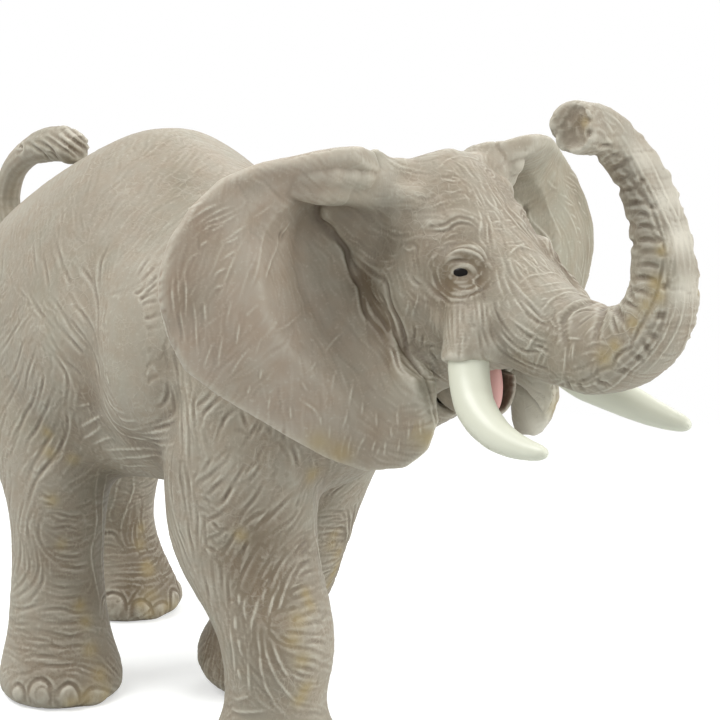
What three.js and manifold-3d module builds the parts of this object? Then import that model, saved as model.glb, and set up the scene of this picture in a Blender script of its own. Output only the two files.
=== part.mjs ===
import * as THREE from 'three';
import { mergeVertices } from 'three/addons/utils/BufferGeometryUtils.js';
import Module from 'manifold-3d';

// Toy African elephant, a moulded figure walking with its trunk raised and its ears spread.
// X points forward, Y to the animal's left and Z up. All lengths are in millimetres.

// Barrel of the body: from the rump to the neck seam, and from the belly to the top of the back.
const torsoLength = 121;
const bellyHeight = 43.5;
const torsoDepth = 72;
const torsoWidth = 61;
const bodyWall = 4;

// Legs: the widest part of a foot, and how far apart the feet stand.
const footDiameter = 26;
const stanceLength = 96;
const stanceWidth = 42;

// Head: from the neck seam to the trunk seam, and from the throat to the crown.
const headLength = 44;
const throatHeight = 62;
const headHeight = 54;
const headWidth = 28;

// Trunk: how far it reaches past its seam, how far it rises over its root, and its thickness.
const trunkReach = 17.5;
const trunkRise = 35.7;
const trunkSway = 13.9;
const trunkRootDiameter = 14.8;
const trunkTipDiameter = 7;

// Ears: from the root plane to the outer rim, from the lobe to the top, and the thickness.
const earSpread = 35.5;
const earHeight = 52;
const earRootThickness = 5.6;
const earRimThickness = 1.5;
const earHollow = 4.2;
const earBulge = 3;
const earRootMargin = 0.3;

// Tusks, jaw, tongue and eyes.
const tuskLength = 30;
const tuskDiameter = 6.6;
const jawLength = 15;
const jawWidth = 15;
const jawDepth = 8;
const mouthGap = 3.4;
const lipThickness = 1.5;
const tongueLength = 11;
const tongueWidth = 6.4;
const tongueThickness = 4.6;
const eyeDiameter = 3.8;
const browReach = 5.6;

// Tail: its curl from end to end, the bare stem and the tuft.
const tailReach = 31;
const tailRise = 24;
const tailDiameter = 5.6;
const tuftDiameter = 7.6;

// Joints between the mouldings: the glue gap, the plugs and the pins.
const seamGap = 0.3;
const legPegDiameter = 9;
const legPegHeight = 6;
const neckPlugDiameter = 20;
const neckPlugLength = 6;
const trunkPegDiameter = 8;
const trunkPegLength = 6;
const earTenonDepth = 3.6;
const earTenonThickness = 2.4;
const jawPegDiameter = 5;
const jawPegLength = 5;
const tailPegDiameter = 3.4;
const pinDiameter = 4;
const pinLength = 4;
const postDiameter = 9;

// Planes where the mouldings meet, and the length that makes every cutting block long enough.
const legSeamShare = 0.965;
const legSeam = bellyHeight * legSeamShare;
const neckSeam = torsoLength;
const trunkSeam = neckSeam + headLength;
const earSeam = headWidth / 2 + earRootMargin;
const overrun = torsoLength + headLength + trunkReach + torsoDepth;

// How finely the skins are divided.
const barrelPoints = 28;
const barrelRings = 26;
const cavityPoints = 16;
const cavityRings = 14;
const legPoints = 16;
const legRings = 17;
const headPoints = 20;
const headRings = 13;
const trunkRings = 25;
const smallPoints = 12;
const tuskRings = 12;
const tailRings = 20;
const jawRings = 6;
const pegRings = 8;
const earRows = 19;
const earColumns = 8;

const wasm = await Module();
wasm.setup();

// Paint on the vinyl of each moulding.
const hide = { color: 0x9a8b7d, roughness: 0.75 };
const earSkin = { color: 0x9c8474, roughness: 0.75 };
const ivory = { color: 0xe4e0c6, roughness: 0.4 };
const tonguePink = { color: 0xd98a86, roughness: 0.5 };
const eyeBlack = { color: 0x120f0d, roughness: 0.15 };

const at = (x, y, z) => new THREE.Vector3(x, y, z);
const sideways = at(0, 1, 0);
const upward = at(0, 0, 1);
const forward = at(1, 0, 0);

// Turns a closed geometry into a solid, with its faces pointing out.
function solid(geometry) {
  const bare = geometry.clone();
  bare.deleteAttribute('normal');
  bare.deleteAttribute('uv');
  const merged = mergeVertices(bare);
  const position = merged.attributes.position;
  const triVerts = Uint32Array.from(merged.index.array);
  if (enclosedVolume(position, triVerts) < 0) {
    triVerts.reverse();
  }
  return new wasm.Manifold(new wasm.Mesh({ numProp: 3, vertProperties: position.array, triVerts }));
}

function enclosedVolume(position, triangles) {
  let volume = 0;
  for (let i = 0; i < triangles.length; i += 3) {
    const [a, b, c] = [0, 1, 2].map((k) => new THREE.Vector3().fromBufferAttribute(position, triangles[i + k]));
    volume += a.dot(b.cross(c));
  }
  return volume;
}

// A block between two corners, used to cut along the seams.
function block(low, high) {
  const size = high.clone().sub(low);
  const centre = low.clone().add(high).multiplyScalar(1 / 2);
  return solid(new THREE.BoxGeometry(size.x, size.y, size.z).translate(...centre));
}

const ahead = (x) => block(at(x, -overrun, -overrun), at(x + 2 * overrun, overrun, overrun));
const behind = (x) => block(at(x - 2 * overrun, -overrun, -overrun), at(x, overrun, overrun));
const leftOf = (y) => block(at(-overrun, y, -overrun), at(2 * overrun, y + overrun, overrun));
const rightOf = (y) => block(at(-overrun, y - overrun, -overrun), at(2 * overrun, y, overrun));
const above = (z) => block(at(-overrun, -overrun, z), at(2 * overrun, overrun, z + 2 * overrun));
const below = (z) => block(at(-overrun, -overrun, z - 2 * overrun), at(2 * overrun, overrun, z));

// A round bar from one point to another.
function bar(start, end, diameter, sides = smallPoints) {
  const axis = end.clone().sub(start);
  const geometry = new THREE.CylinderGeometry(diameter / 2, diameter / 2, axis.length(), sides);
  geometry.applyQuaternion(new THREE.Quaternion().setFromUnitVectors(sideways, axis.clone().normalize()));
  geometry.translate(...start.clone().add(end).multiplyScalar(1 / 2));
  return solid(geometry);
}

// One oval section: the upper and the lower half have their own height and squareness.
function oval(centre, side, up, halfWidth, rise, drop, points, topPower = 2, bottomPower = 2) {
  const ring = [];
  for (let i = 0; i < points; i++) {
    const angle = (i / points) * 2 * Math.PI;
    const power = Math.sin(angle) > 0 ? topPower : bottomPower;
    const across = Math.sign(Math.cos(angle)) * Math.abs(Math.cos(angle)) ** (2 / power);
    const along = Math.sign(Math.sin(angle)) * Math.abs(Math.sin(angle)) ** (2 / power);
    const height = along > 0 ? rise : drop;
    ring.push(centre.clone().addScaledVector(side, halfWidth * across).addScaledVector(up, height * along));
  }
  return ring;
}

// Runs a smooth curve through every column of the stations and cuts it into more rings.
function smoothRings(stations, steps) {
  const columns = stations[0].map((_, i) => new THREE.CatmullRomCurve3(stations.map((ring) => ring[i])));
  const rings = [];
  for (let step = 0; step <= steps; step++) {
    rings.push(columns.map((column) => column.getPoint(step / steps)));
  }
  return rings;
}

// Closes a row of rings into one skin, with a fan over each end.
function skin(rings) {
  const count = rings[0].length;
  const middle = (ring) => ring.reduce((sum, point) => sum.add(point), at(0, 0, 0)).divideScalar(count);
  const points = [...rings.flat(), middle(rings[0]), middle(rings.at(-1))];
  const faces = [];
  for (let r = 0; r < rings.length - 1; r++) {
    for (let i = 0; i < count; i++) {
      const [a, b] = [r * count + i, r * count + ((i + 1) % count)];
      faces.push(a, a + count, b, b, a + count, b + count);
    }
  }
  const last = (rings.length - 1) * count;
  for (let i = 0; i < count; i++) {
    const next = (i + 1) % count;
    faces.push(points.length - 2, i, next, points.length - 1, last + next, last + i);
  }
  return new THREE.BufferGeometry().setFromPoints(points).setIndex(faces);
}

// Sections swept along a curve; radiusAt gives the half size at each share of the way.
function sweep(curve, steps, points, radiusAt, sectionAt) {
  const frames = curve.computeFrenetFrames(steps, false);
  const rings = [];
  for (let step = 0; step <= steps; step++) {
    const share = step / steps;
    const up = frames.binormals[step].clone().negate();
    rings.push(sectionAt(curve.getPointAt(share), frames.normals[step], up, radiusAt(share), points));
  }
  return rings;
}

const roundSection = (centre, side, up, radius, points) => oval(centre, side, up, radius, radius, radius, points);

// Reads a value out of a row of [share of the way, value] pairs.
function between(pairs, share) {
  const next = Math.max(1, pairs.findIndex(([place]) => place >= share));
  const [[fromPlace, from], [toPlace, to]] = [pairs[next - 1], pairs[next]];
  const mix = THREE.MathUtils.clamp((share - fromPlace) / (toPlace - fromPlace), 0, 1);
  return THREE.MathUtils.lerp(from, to, mix);
}

// Mirrors a solid to the animal's other side.
const mirrored = (shape) => shape.mirror([0, 1, 0]);

// Barrel: place along the body, top and bottom over the belly line, and half of the width.
const barrelShares = [
  [0.0, 0.6, 0.45, 0.08],
  [0.01, 0.645, 0.35, 0.15],
  [0.033, 0.68, 0.25, 0.23],
  [0.075, 0.722, 0.175, 0.305],
  [0.116, 0.766, 0.118, 0.36],
  [0.18, 0.818, 0.075, 0.41],
  [0.24, 0.866, 0.045, 0.443],
  [0.364, 0.949, 0.0, 0.484],
  [0.488, 0.998, 0.028, 0.5],
  [0.612, 0.931, 0.049, 0.497],
  [0.736, 0.896, 0.063, 0.465],
  [0.818, 0.917, 0.08, 0.42],
  [0.885, 0.924, 0.12, 0.36],
  [0.942, 0.916, 0.18, 0.285],
  [1.0, 0.905, 0.235, 0.226],
  [1.06, 0.87, 0.3, 0.18],
];
const barrelWaistShare = 0.44;
const backPower = 1.8;
const bellyPower = 2.15;

function barrel(inset, steps, points) {
  const stretch = 1 - (2 * inset) / torsoLength;
  const stations = barrelShares.map(([place, top, bottom, half]) => {
    const low = bellyHeight + torsoDepth * bottom;
    const high = bellyHeight + torsoDepth * top;
    const waist = low + (high - low) * barrelWaistShare;
    const centre = at(torsoLength * (1 / 2 + (place - 1 / 2) * stretch), 0, waist);
    const shrunk = (size) => Math.max(size - inset, size * (1 - stretch));
    const [rise, drop, width] = [high - waist, waist - low, torsoWidth * half].map(shrunk);
    return oval(centre, sideways, upward, width, rise, drop, points, backPower, bellyPower);
  });
  return solid(skin(smoothRings(stations, steps)));
}

// Legs: height as a share of the belly height, place along and across the stance, half length and
// half width as shares of the foot, and how far the section leans with the toes down.
const rightRearShares = [
  [0.0, 0.0, -0.476, 0.455, 0.455, 0],
  [0.03, 0.0, -0.476, 0.482, 0.482, 0],
  [0.1, -0.002, -0.476, 0.486, 0.48, 0],
  [0.2, -0.006, -0.472, 0.43, 0.43, 0],
  [0.32, -0.01, -0.468, 0.39, 0.38, 0],
  [0.46, -0.013, -0.464, 0.366, 0.36, 0],
  [0.6, -0.012, -0.462, 0.352, 0.345, 0],
  [0.76, -0.008, -0.46, 0.358, 0.346, 0],
  [0.965, -0.01, -0.455, 0.42, 0.38, 0],
  [1.2, -0.045, -0.425, 0.6, 0.46, 0],
  [1.5, -0.09, -0.36, 0.74, 0.53, 0],
  [1.85, -0.13, -0.27, 0.76, 0.56, 0],
];
const leftRearShares = [
  [0.0, -0.373, 0.517, 0.455, 0.455, 0],
  [0.03, -0.373, 0.517, 0.482, 0.482, 0],
  [0.1, -0.376, 0.514, 0.482, 0.476, 0],
  [0.2, -0.388, 0.512, 0.43, 0.42, 0],
  [0.34, -0.408, 0.507, 0.38, 0.37, 0],
  [0.48, -0.418, 0.5, 0.36, 0.35, 0],
  [0.6, -0.408, 0.49, 0.366, 0.352, 0],
  [0.76, -0.378, 0.478, 0.39, 0.365, 0],
  [0.965, -0.338, 0.464, 0.46, 0.4, 0],
  [1.2, -0.3, 0.43, 0.6, 0.46, 0],
  [1.5, -0.25, 0.37, 0.72, 0.53, 0],
  [1.85, -0.2, 0.28, 0.76, 0.56, 0],
];
const rightFrontShares = [
  [0.0, 0.633, -0.31, 0.44, 0.44, 0],
  [0.03, 0.633, -0.31, 0.466, 0.466, 0],
  [0.1, 0.634, -0.312, 0.47, 0.464, 0],
  [0.2, 0.634, -0.316, 0.405, 0.395, 0],
  [0.3, 0.637, -0.322, 0.34, 0.335, 0],
  [0.42, 0.648, -0.328, 0.366, 0.358, 0],
  [0.56, 0.656, -0.333, 0.396, 0.38, 0],
  [0.73, 0.625, -0.338, 0.46, 0.42, 0],
  [0.84, 0.586, -0.343, 0.53, 0.45, 0],
  [0.965, 0.56, -0.348, 0.57, 0.47, 0],
  [1.16, 0.558, -0.357, 0.585, 0.48, 0],
  [1.4, 0.56, -0.362, 0.59, 0.49, 0],
  [1.7, 0.555, -0.33, 0.58, 0.5, 0],
  [2.0, 0.54, -0.26, 0.55, 0.5, 0],
];
const leftFrontShares = [
  [0.045, 0.243, 0.295, 0.455, 0.445, 0.3],
  [0.08, 0.244, 0.295, 0.49, 0.475, 0.3],
  [0.16, 0.25, 0.296, 0.488, 0.47, 0.28],
  [0.28, 0.268, 0.298, 0.42, 0.41, 0.24],
  [0.42, 0.302, 0.3, 0.375, 0.365, 0.18],
  [0.58, 0.345, 0.302, 0.37, 0.355, 0.12],
  [0.76, 0.378, 0.302, 0.392, 0.372, 0.06],
  [0.965, 0.402, 0.305, 0.45, 0.412, 0],
  [1.16, 0.425, 0.312, 0.53, 0.455, 0],
  [1.4, 0.465, 0.33, 0.59, 0.49, 0],
  [1.7, 0.5, 0.32, 0.6, 0.5, 0],
  [2.0, 0.51, 0.26, 0.56, 0.5, 0],
];
// The right rear foot stands here along the body, and the other feet are placed from it.
const hindFootShare = 0.364;

function leg(shares) {
  const stations = shares.map(([height, along, across, halfLength, halfWidth, lean]) => {
    const centre = at(
      torsoLength * hindFootShare + stanceLength * along,
      stanceWidth * across,
      bellyHeight * height,
    );
    const toes = at(Math.cos(lean), 0, -Math.sin(lean));
    const [length, width] = [footDiameter * halfLength, footDiameter * halfWidth];
    return oval(centre, sideways, toes, width, length, length, legPoints);
  });
  return solid(skin(smoothRings(stations, legRings))).intersect(above(0));
}

// Head: top and bottom of each section along and over the head box, half of the width, and how
// square the brow is.
const headShares = [
  [-0.2, 0.81, -0.16, -0.03, 0.49, 2.6],
  [-0.02, 0.87, 0.02, 0.0, 0.5, 2.8],
  [0.16, 0.93, 0.2, 0.075, 0.5, 2.8],
  [0.32, 0.985, 0.364, 0.15, 0.5, 2.4],
  [0.455, 0.92, 0.5, 0.24, 0.5, 2],
  [0.56, 0.825, 0.614, 0.316, 0.465, 1.9],
  [0.685, 0.715, 0.739, 0.335, 0.42, 1.9],
  [0.83, 0.62, 0.875, 0.33, 0.335, 1.95],
];
const headWaistShare = 0.5;
const jowlPower = 2.1;

// Middle of the trunk: reach, sway to the animal's right and rise over the root.
const trunkRootShares = [0.99, 0.445];
const trunkShares = [
  [0.0, 0.0, 0.0],
  [0.27, 0.0, -0.018],
  [0.67, 0.0, 0.045],
  [0.935, 0.0, 0.19],
  [0.98, 0.0, 0.395],
  [0.9, 0.0, 0.565],
  [0.78, 0.083, 0.75],
  [0.65, 0.25, 0.88],
  [0.61, 0.583, 0.965],
  [0.63, 1.03, 0.985],
];
const trunkTaperShares = [
  [0, 0],
  [0.16, 0.2],
  [0.3, 0.44],
  [0.45, 0.7],
  [0.62, 0.9],
  [0.8, 1.05],
  [0.93, 1.0],
  [1, 0.97],
];
const trunkFlatShare = 0.9;
const roundPower = 2;
const trunkPower = 2.5;

const headPoint = (along, up) => at(neckSeam + headLength * along, 0, throatHeight + headHeight * up);

function trunkCurve() {
  const root = headPoint(...trunkRootShares);
  const offsets = trunkShares.map(([reach, sway, rise]) =>
    at(trunkReach * reach, -trunkSway * sway, trunkRise * rise).add(root));
  return new THREE.CatmullRomCurve3(offsets);
}

function trunkRadius(share) {
  const taper = between(trunkTaperShares, share);
  return THREE.MathUtils.lerp(trunkRootDiameter, trunkTipDiameter, taper) / 2;
}

function trunkSection(centre, side, up, radius, points) {
  return oval(centre, side, up, radius, radius, radius * trunkFlatShare, points, roundPower, trunkPower);
}

function headSection([topAlong, topUp, bottomAlong, bottomUp, half, browPower]) {
  const top = headPoint(topAlong, topUp);
  const bottom = headPoint(bottomAlong, bottomUp);
  const centre = bottom.clone().lerp(top, headWaistShare);
  const up = top.clone().sub(bottom);
  const [rise, drop] = [up.length() * (1 - headWaistShare), up.length() * headWaistShare];
  const right = sideways.clone().negate();
  return oval(centre, right, up.normalize(), headWidth * half, rise, drop, headPoints, browPower, jowlPower);
}

// The head and the trunk are one form, cut apart at the trunk seam.
function headAndTrunk() {
  const trunk = sweep(trunkCurve(), trunkRings, headPoints, trunkRadius, trunkSection);
  const head = smoothRings([...headShares.map(headSection), trunk[0]], headRings);
  return solid(skin([...head.slice(0, -1), ...trunk]));
}

// Fleshy sheath round the root of a tusk, and the mound round an eye.
const sheathStartShares = [0.69, 0.37, 0.545];
const sheathEndShares = [0.735, 0.443, 0.39];
const sheathStartShare = 1.1;
const sheathEndShare = 1.42;
const eyeShares = [0.636, 0.368, 0.641];
const moundShares = [0.605, 0.28, 0.632];
const moundLengthShare = 0.92;
const moundHeightShare = 0.9;
const moundWidthShare = 0.72;

const headSide = ([along, across, up]) => headPoint(along, up).addScaledVector(sideways, headWidth * across);

function tuskSheath(grown) {
  const [start, end] = [headSide(sheathStartShares), headSide(sheathEndShares)];
  const path = new THREE.LineCurve3(start, end.addScaledVector(upward, -grown));
  const radiusAt = (share) =>
    (tuskDiameter / 2) * THREE.MathUtils.lerp(sheathStartShare, sheathEndShare, share) + grown;
  return solid(skin(sweep(path, 1, smallPoints, radiusAt, roundSection)));
}

function eyeMound() {
  const mound = new THREE.SphereGeometry(1, smallPoints, smallPoints / 2);
  mound.scale(browReach * moundLengthShare, browReach * moundWidthShare, browReach * moundHeightShare);
  return solid(mound.translate(...headSide(moundShares)));
}

// Lower jaw: place along, top and bottom over the lip line, and half of the width.
const jawRootShares = [0.34, 0.3];
const jawShares = [
  [-0.4, -0.1, -1.2, 0.5],
  [0.0, 0.0, -1.0, 0.5],
  [0.33, -0.06, -0.77, 0.43],
  [0.66, -0.08, -0.74, 0.34],
  [0.88, -0.02, -0.64, 0.25],
  [1.0, -0.06, -0.44, 0.14],
];
const lipPower = 2.4;
const chinPower = 2.2;
const jawPoint = (along, up) => headPoint(...jawRootShares).add(at(jawLength * along, 0, jawDepth * up));
const jawSeam = jawPoint(0, 0).x;

function jawForm(inset, lift) {
  const stations = jawShares.map(([along, top, bottom, half]) => {
    const centre = jawPoint(along, (top + bottom) / 2);
    centre.addScaledVector(upward, lift).addScaledVector(forward, -inset);
    const rise = Math.max((jawDepth * (top - bottom)) / 2 - inset, 0);
    const width = jawWidth * half - inset;
    return oval(centre, sideways, upward, width, rise, rise, smallPoints, lipPower, chinPower);
  });
  return solid(skin(smoothRings(stations, jawRings)));
}

// Tongue lying in the scoop of the jaw: place along and height in the mouth.
const tongueShares = [
  [0.0, 0.36, 0.42],
  [0.3, 0.46, 0.5],
  [0.7, 0.5, 0.46],
  [0.94, 0.42, 0.32],
  [1.0, 0.28, 0.16],
];
const tongueSeatShare = 0.1;

function tongueForm(grown) {
  const seat = jawPoint(tongueSeatShare, 0);
  const stations = tongueShares.map(([along, thick, half]) => {
    const centre = seat.clone().addScaledVector(forward, tongueLength * along);
    const rise = tongueThickness * thick + grown;
    return oval(centre, sideways, upward, tongueWidth * half + grown, rise, rise, smallPoints);
  });
  return solid(skin(smoothRings(stations, jawRings)));
}

// Tusk: middle line from its root, as shares of its length, and its taper.
const tuskRootShares = [0.709, 0.412, 0.5];
const tuskShares = [
  [0, 0, 0],
  [0.024, 0.03, -0.167],
  [0.078, 0.076, -0.328],
  [0.222, 0.158, -0.468],
  [0.4, 0.198, -0.524],
  [0.567, 0.21, -0.54],
  [0.733, 0.206, -0.536],
];
const tuskTaperShares = [
  [0, 0.6],
  [0.12, 0.92],
  [0.25, 1],
  [0.5, 0.94],
  [0.7, 0.76],
  [0.9, 0.5],
  [0.97, 0.36],
  [1, 0.12],
];

function tuskForm(grown) {
  const root = headSide(tuskRootShares);
  const path = tuskShares.map((offset) => at(...offset).multiplyScalar(tuskLength).add(root));
  const radiusAt = (share) => (tuskDiameter / 2) * between(tuskTaperShares, share) + grown;
  return solid(skin(sweep(new THREE.CatmullRomCurve3(path), tuskRings, smallPoints, radiusAt, roundSection)));
}

// Ear: each row runs from a root point inside the head to a rim point. The root is placed in
// shares of the head; the rim along the head, across the spread and up the ear.
const earFootShare = 0.045;
const earRowShares = [
  { root: [0.25, 0.36, 0.935], rim: [0.345, 0.18, 0.985] },
  { root: [0.19, 0.36, 0.9], rim: [0.295, 0.33, 0.985] },
  { root: [0.14, 0.36, 0.87], rim: [0.225, 0.47, 0.962] },
  { root: [0.11, 0.36, 0.81], rim: [0.1, 0.673, 0.921] },
  { root: [0.1, 0.36, 0.77], rim: [0.055, 0.868, 0.796] },
  { root: [0.11, 0.36, 0.71], rim: [0.052, 0.969, 0.651] },
  { root: [0.13, 0.36, 0.645], rim: [0.055, 0.963, 0.497] },
  { root: [0.19, 0.37, 0.575], rim: [0.05, 0.848, 0.324] },
  { root: [0.28, 0.39, 0.5], rim: [0.09, 0.577, 0.182] },
  { root: [0.36, 0.42, 0.44], rim: [0.2, 0.369, 0.071] },
  { root: [0.43, 0.48, 0.385], rim: [0.33, 0.16, -0.016] },
  { root: [0.505, 0.53, 0.35], rim: [0.545, 0.042, 0.03] },
  { root: [0.557, 0.53, 0.33], rim: [0.615, 0.02, 0.146] },
];
const hollowPlaceShare = 0.3;
const bulgePlaceShare = 0.66;
const foldWidthShare = 0.17;
const foldLengthShare = 0.91;
const earThicknessShares = [
  [0, 1],
  [0.3, 0.85],
  [0.5, 0.5],
  [0.85, 0.4],
  [1, 0],
];

function earEnds(row) {
  const root = headSide(row.root);
  const [along, across, up] = row.rim;
  const rim = headPoint(along, earFootShare);
  rim.addScaledVector(sideways, earSeam + earSpread * across).addScaledVector(upward, earHeight * up);
  return [root, rim];
}

// How far the sheet dips behind, or swells in front of, the straight line from root to rim.
function earSwell(way, row) {
  const hump = (middle) => Math.exp(-(((way - middle) / foldWidthShare) ** 2));
  const flank = Math.sin(Math.PI * THREE.MathUtils.clamp(row / foldLengthShare, 0, 1));
  return flank * (earBulge * hump(bulgePlaceShare) - earHollow * hump(hollowPlaceShare));
}

function earSheet(rows, columns) {
  const ends = earRowShares.map(earEnds);
  const roots = new THREE.CatmullRomCurve3(ends.map(([root]) => root));
  const rims = new THREE.CatmullRomCurve3(ends.map(([, rim]) => rim));
  const grid = [];
  for (let row = 0; row <= rows; row++) {
    const [root, rim] = [roots.getPoint(row / rows), rims.getPoint(row / rows)];
    const line = [];
    for (let column = 0; column <= columns; column++) {
      const way = column / columns;
      line.push(root.clone().lerp(rim, way).addScaledVector(forward, earSwell(way, row / rows)));
    }
    grid.push(line);
  }
  return grid;
}

function earForm() {
  const [rows, columns] = [earRows, earColumns];
  const grid = earSheet(rows, columns);
  const normalAt = (r, c) => {
    const down = grid[Math.min(r + 1, rows)][c].clone().sub(grid[Math.max(r - 1, 0)][c]);
    const out = grid[r][Math.min(c + 1, columns)].clone().sub(grid[r][Math.max(c - 1, 0)]);
    return down.cross(out).normalize();
  };
  const face = (turn) => grid.map((line, r) => line.map((point, c) => {
    const share = between(earThicknessShares, c / columns);
    const thickness = THREE.MathUtils.lerp(earRimThickness, earRootThickness, share);
    return point.clone().addScaledVector(normalAt(r, c), (turn * thickness) / 2);
  }));
  const [front, back] = [face(1), face(-1)];
  return solid(skin(front.map((line, r) => [...line, ...back[r].reverse()])));
}

// Tail: middle line from its root, as shares of its reach forward and of its rise.
const tailRootShares = [0.035, 0.62];
const tailShares = [
  [0.01, -0.13],
  [-0.11, 0.0],
  [-0.21, 0.154],
  [-0.242, 0.354],
  [-0.155, 0.592],
  [0.032, 0.765],
  [0.38, 0.89],
  [0.69, 0.875],
];
const tailThicknessShares = [
  [0, 0.1],
  [0.45, 0],
  [0.62, 0.1],
  [0.72, 0.9],
  [0.85, 1],
  [0.95, 0.7],
  [1, 0],
];

function tailCurve() {
  const root = at(torsoLength * tailRootShares[0], 0, bellyHeight + torsoDepth * tailRootShares[1]);
  const path = tailShares.map(([reach, rise]) => at(tailReach * reach, 0, tailRise * rise).add(root));
  return new THREE.CatmullRomCurve3(path);
}

function tailForm() {
  const radiusAt = (share) =>
    THREE.MathUtils.lerp(tailDiameter, tuftDiameter, between(tailThicknessShares, share)) / 2;
  return solid(skin(sweep(tailCurve(), tailRings, smallPoints, radiusAt, roundSection)));
}

// Whole skin of the animal, from which each moulding is cut along its seams.
const rightLegs = [leg(rightRearShares), leg(rightFrontShares)];
const leftLegs = [leg(leftRearShares), leg(leftFrontShares)];
const barrelForm = barrel(0, barrelRings, barrelPoints);
const headTrunkForm = headAndTrunk();
const leftEarForm = earForm();
const earForms = leftEarForm.add(mirrored(leftEarForm));
const sheath = tuskSheath(0);
const mound = eyeMound();
const headLumps = sheath.add(mirrored(sheath)).add(mound).add(mirrored(mound));
const betweenEars = leftOf(-earSeam + seamGap / 2).intersect(rightOf(earSeam - seamGap / 2));
const headForm = headTrunkForm.add(headLumps);
const frontForm = headForm.add(barrelForm);

// Plugs that stand on one moulding and enter a socket in the next.
const neckMiddle = headPoint(0, 1 / 2);
const neckPlug = (grown) => bar(
  neckMiddle.clone().addScaledVector(forward, -neckPlugLength - grown),
  neckMiddle.clone().addScaledVector(forward, neckPlugLength),
  neckPlugDiameter + 2 * grown,
);
const trunkMiddle = headPoint(1, trunkRootShares[1]);
const trunkPeg = (grown) => bar(
  trunkMiddle.clone().addScaledVector(forward, -trunkPegLength - grown),
  trunkMiddle.clone().addScaledVector(forward, trunkPegLength),
  trunkPegDiameter + 2 * grown,
);
const jawMiddle = jawPoint(0, -1 / 2);
const jawPeg = (grown) => bar(
  jawMiddle.clone().addScaledVector(forward, -jawPegLength - grown),
  jawMiddle.clone().addScaledVector(forward, jawPegLength / 2),
  jawPegDiameter + 2 * grown,
);

// A leg's section at the seam carries its peg.
function legPeg(shares, grown) {
  const [, along, across] = shares.find(([height]) => height === legSeamShare);
  const middle = at(torsoLength * hindFootShare + stanceLength * along, stanceWidth * across, legSeam);
  const foot = middle.clone().addScaledVector(upward, -legPegHeight);
  return bar(foot, middle.clone().addScaledVector(upward, legPegHeight + grown), legPegDiameter + 2 * grown);
}

// Where the middle of the ear's sheet crosses a plane beside the head, on one of its rows.
function earCrossing(line, y) {
  const next = Math.max(1, line.findIndex((point) => point.y >= y));
  const [inner, outer] = [line[next - 1], line[next]];
  return inner.clone().lerp(outer, (y - inner.y) / (outer.y - inner.y));
}

// The tenon of an ear is a slab that follows the sheet through the seam.
const tenonStartShare = 0.37;
const tenonEndShare = 0.68;
function earTenon(grown) {
  const sheet = earSheet(earRows, earColumns);
  const [first, last] = [tenonStartShare, tenonEndShare].map((share) => Math.round(share * earRows));
  const lines = sheet.slice(first, last + 1);
  const span = earCrossing(lines.at(-1), earSeam).sub(earCrossing(lines[0], earSeam)).normalize();
  const half = span.clone().cross(sideways).normalize().multiplyScalar(earTenonThickness / 2 + grown);
  const rings = lines.map((line, i) => {
    const slide = (Number(i === lines.length - 1) - Number(i === 0)) * grown;
    const inner = earCrossing(line, earSeam - earTenonDepth - grown).addScaledVector(span, slide);
    const outer = earCrossing(line, earSeam + earTenonDepth / 2).addScaledVector(span, slide);
    return [inner.clone().add(half), outer.clone().add(half), outer.sub(half), inner.sub(half)];
  });
  return solid(skin(rings));
}

// The tail's spigot follows the buried start of its own middle line.
const tailPegShare = 0.36;
function tailPeg(grown) {
  const path = tailCurve();
  const points = Array.from({ length: smallPoints }, (_, i) => path.getPointAt((i / (smallPoints - 1)) * tailPegShare));
  const radiusAt = () => tailPegDiameter / 2 + grown;
  return solid(skin(sweep(new THREE.CatmullRomCurve3(points), pegRings, smallPoints, radiusAt, roundSection)));
}

// Posts inside the hollow body hold the two shells together on their pins.
const postShares = [
  [0.3, 0.72],
  [0.55, 0.3],
  [0.8, 0.72],
];
const postPlace = ([along, up]) => at(torsoLength * along, 0, bellyHeight + torsoDepth * up);
function post(place, diameter, reachLeft, reachRight) {
  const middle = postPlace(place);
  const [left, right] = [sideways.clone().multiplyScalar(reachLeft), sideways.clone().multiplyScalar(-reachRight)];
  return bar(middle.clone().add(right), middle.clone().add(left), diameter);
}

const union = (shapes) => shapes.reduce((whole, shape) => whole.add(shape));

// Both body shells before they are parted down the middle.
function bodyForm() {
  const cavity = barrel(bodyWall, cavityRings, cavityPoints);
  const posts = union(postShares.map((place) => post(place, postDiameter, torsoWidth / 2, torsoWidth / 2)));
  const sockets = union([
    neckPlug(seamGap),
    tailPeg(seamGap),
    ...[rightRearShares, leftRearShares, rightFrontShares, leftFrontShares].map((shares) => legPeg(shares, seamGap)),
  ]);
  const outer = union([frontForm, ...rightLegs, ...leftLegs]);
  const shell = outer.intersect(behind(neckSeam - seamGap / 2)).intersect(above(legSeam + seamGap / 2));
  return shell.subtract(cavity.subtract(posts)).subtract(sockets);
}

const body = bodyForm();
const pins = (grown) => union(postShares.map((place) =>
  post(place, pinDiameter + 2 * grown, pinLength / 2, pinLength + grown)));
const rightShell = body.intersect(rightOf(-seamGap / 2)).subtract(pins(seamGap));
const leftShell = body.intersect(leftOf(seamGap / 2)).add(pins(0));

const seatedLeg = (form, shares) => form.intersect(below(legSeam - seamGap / 2)).add(legPeg(shares, 0));

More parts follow.
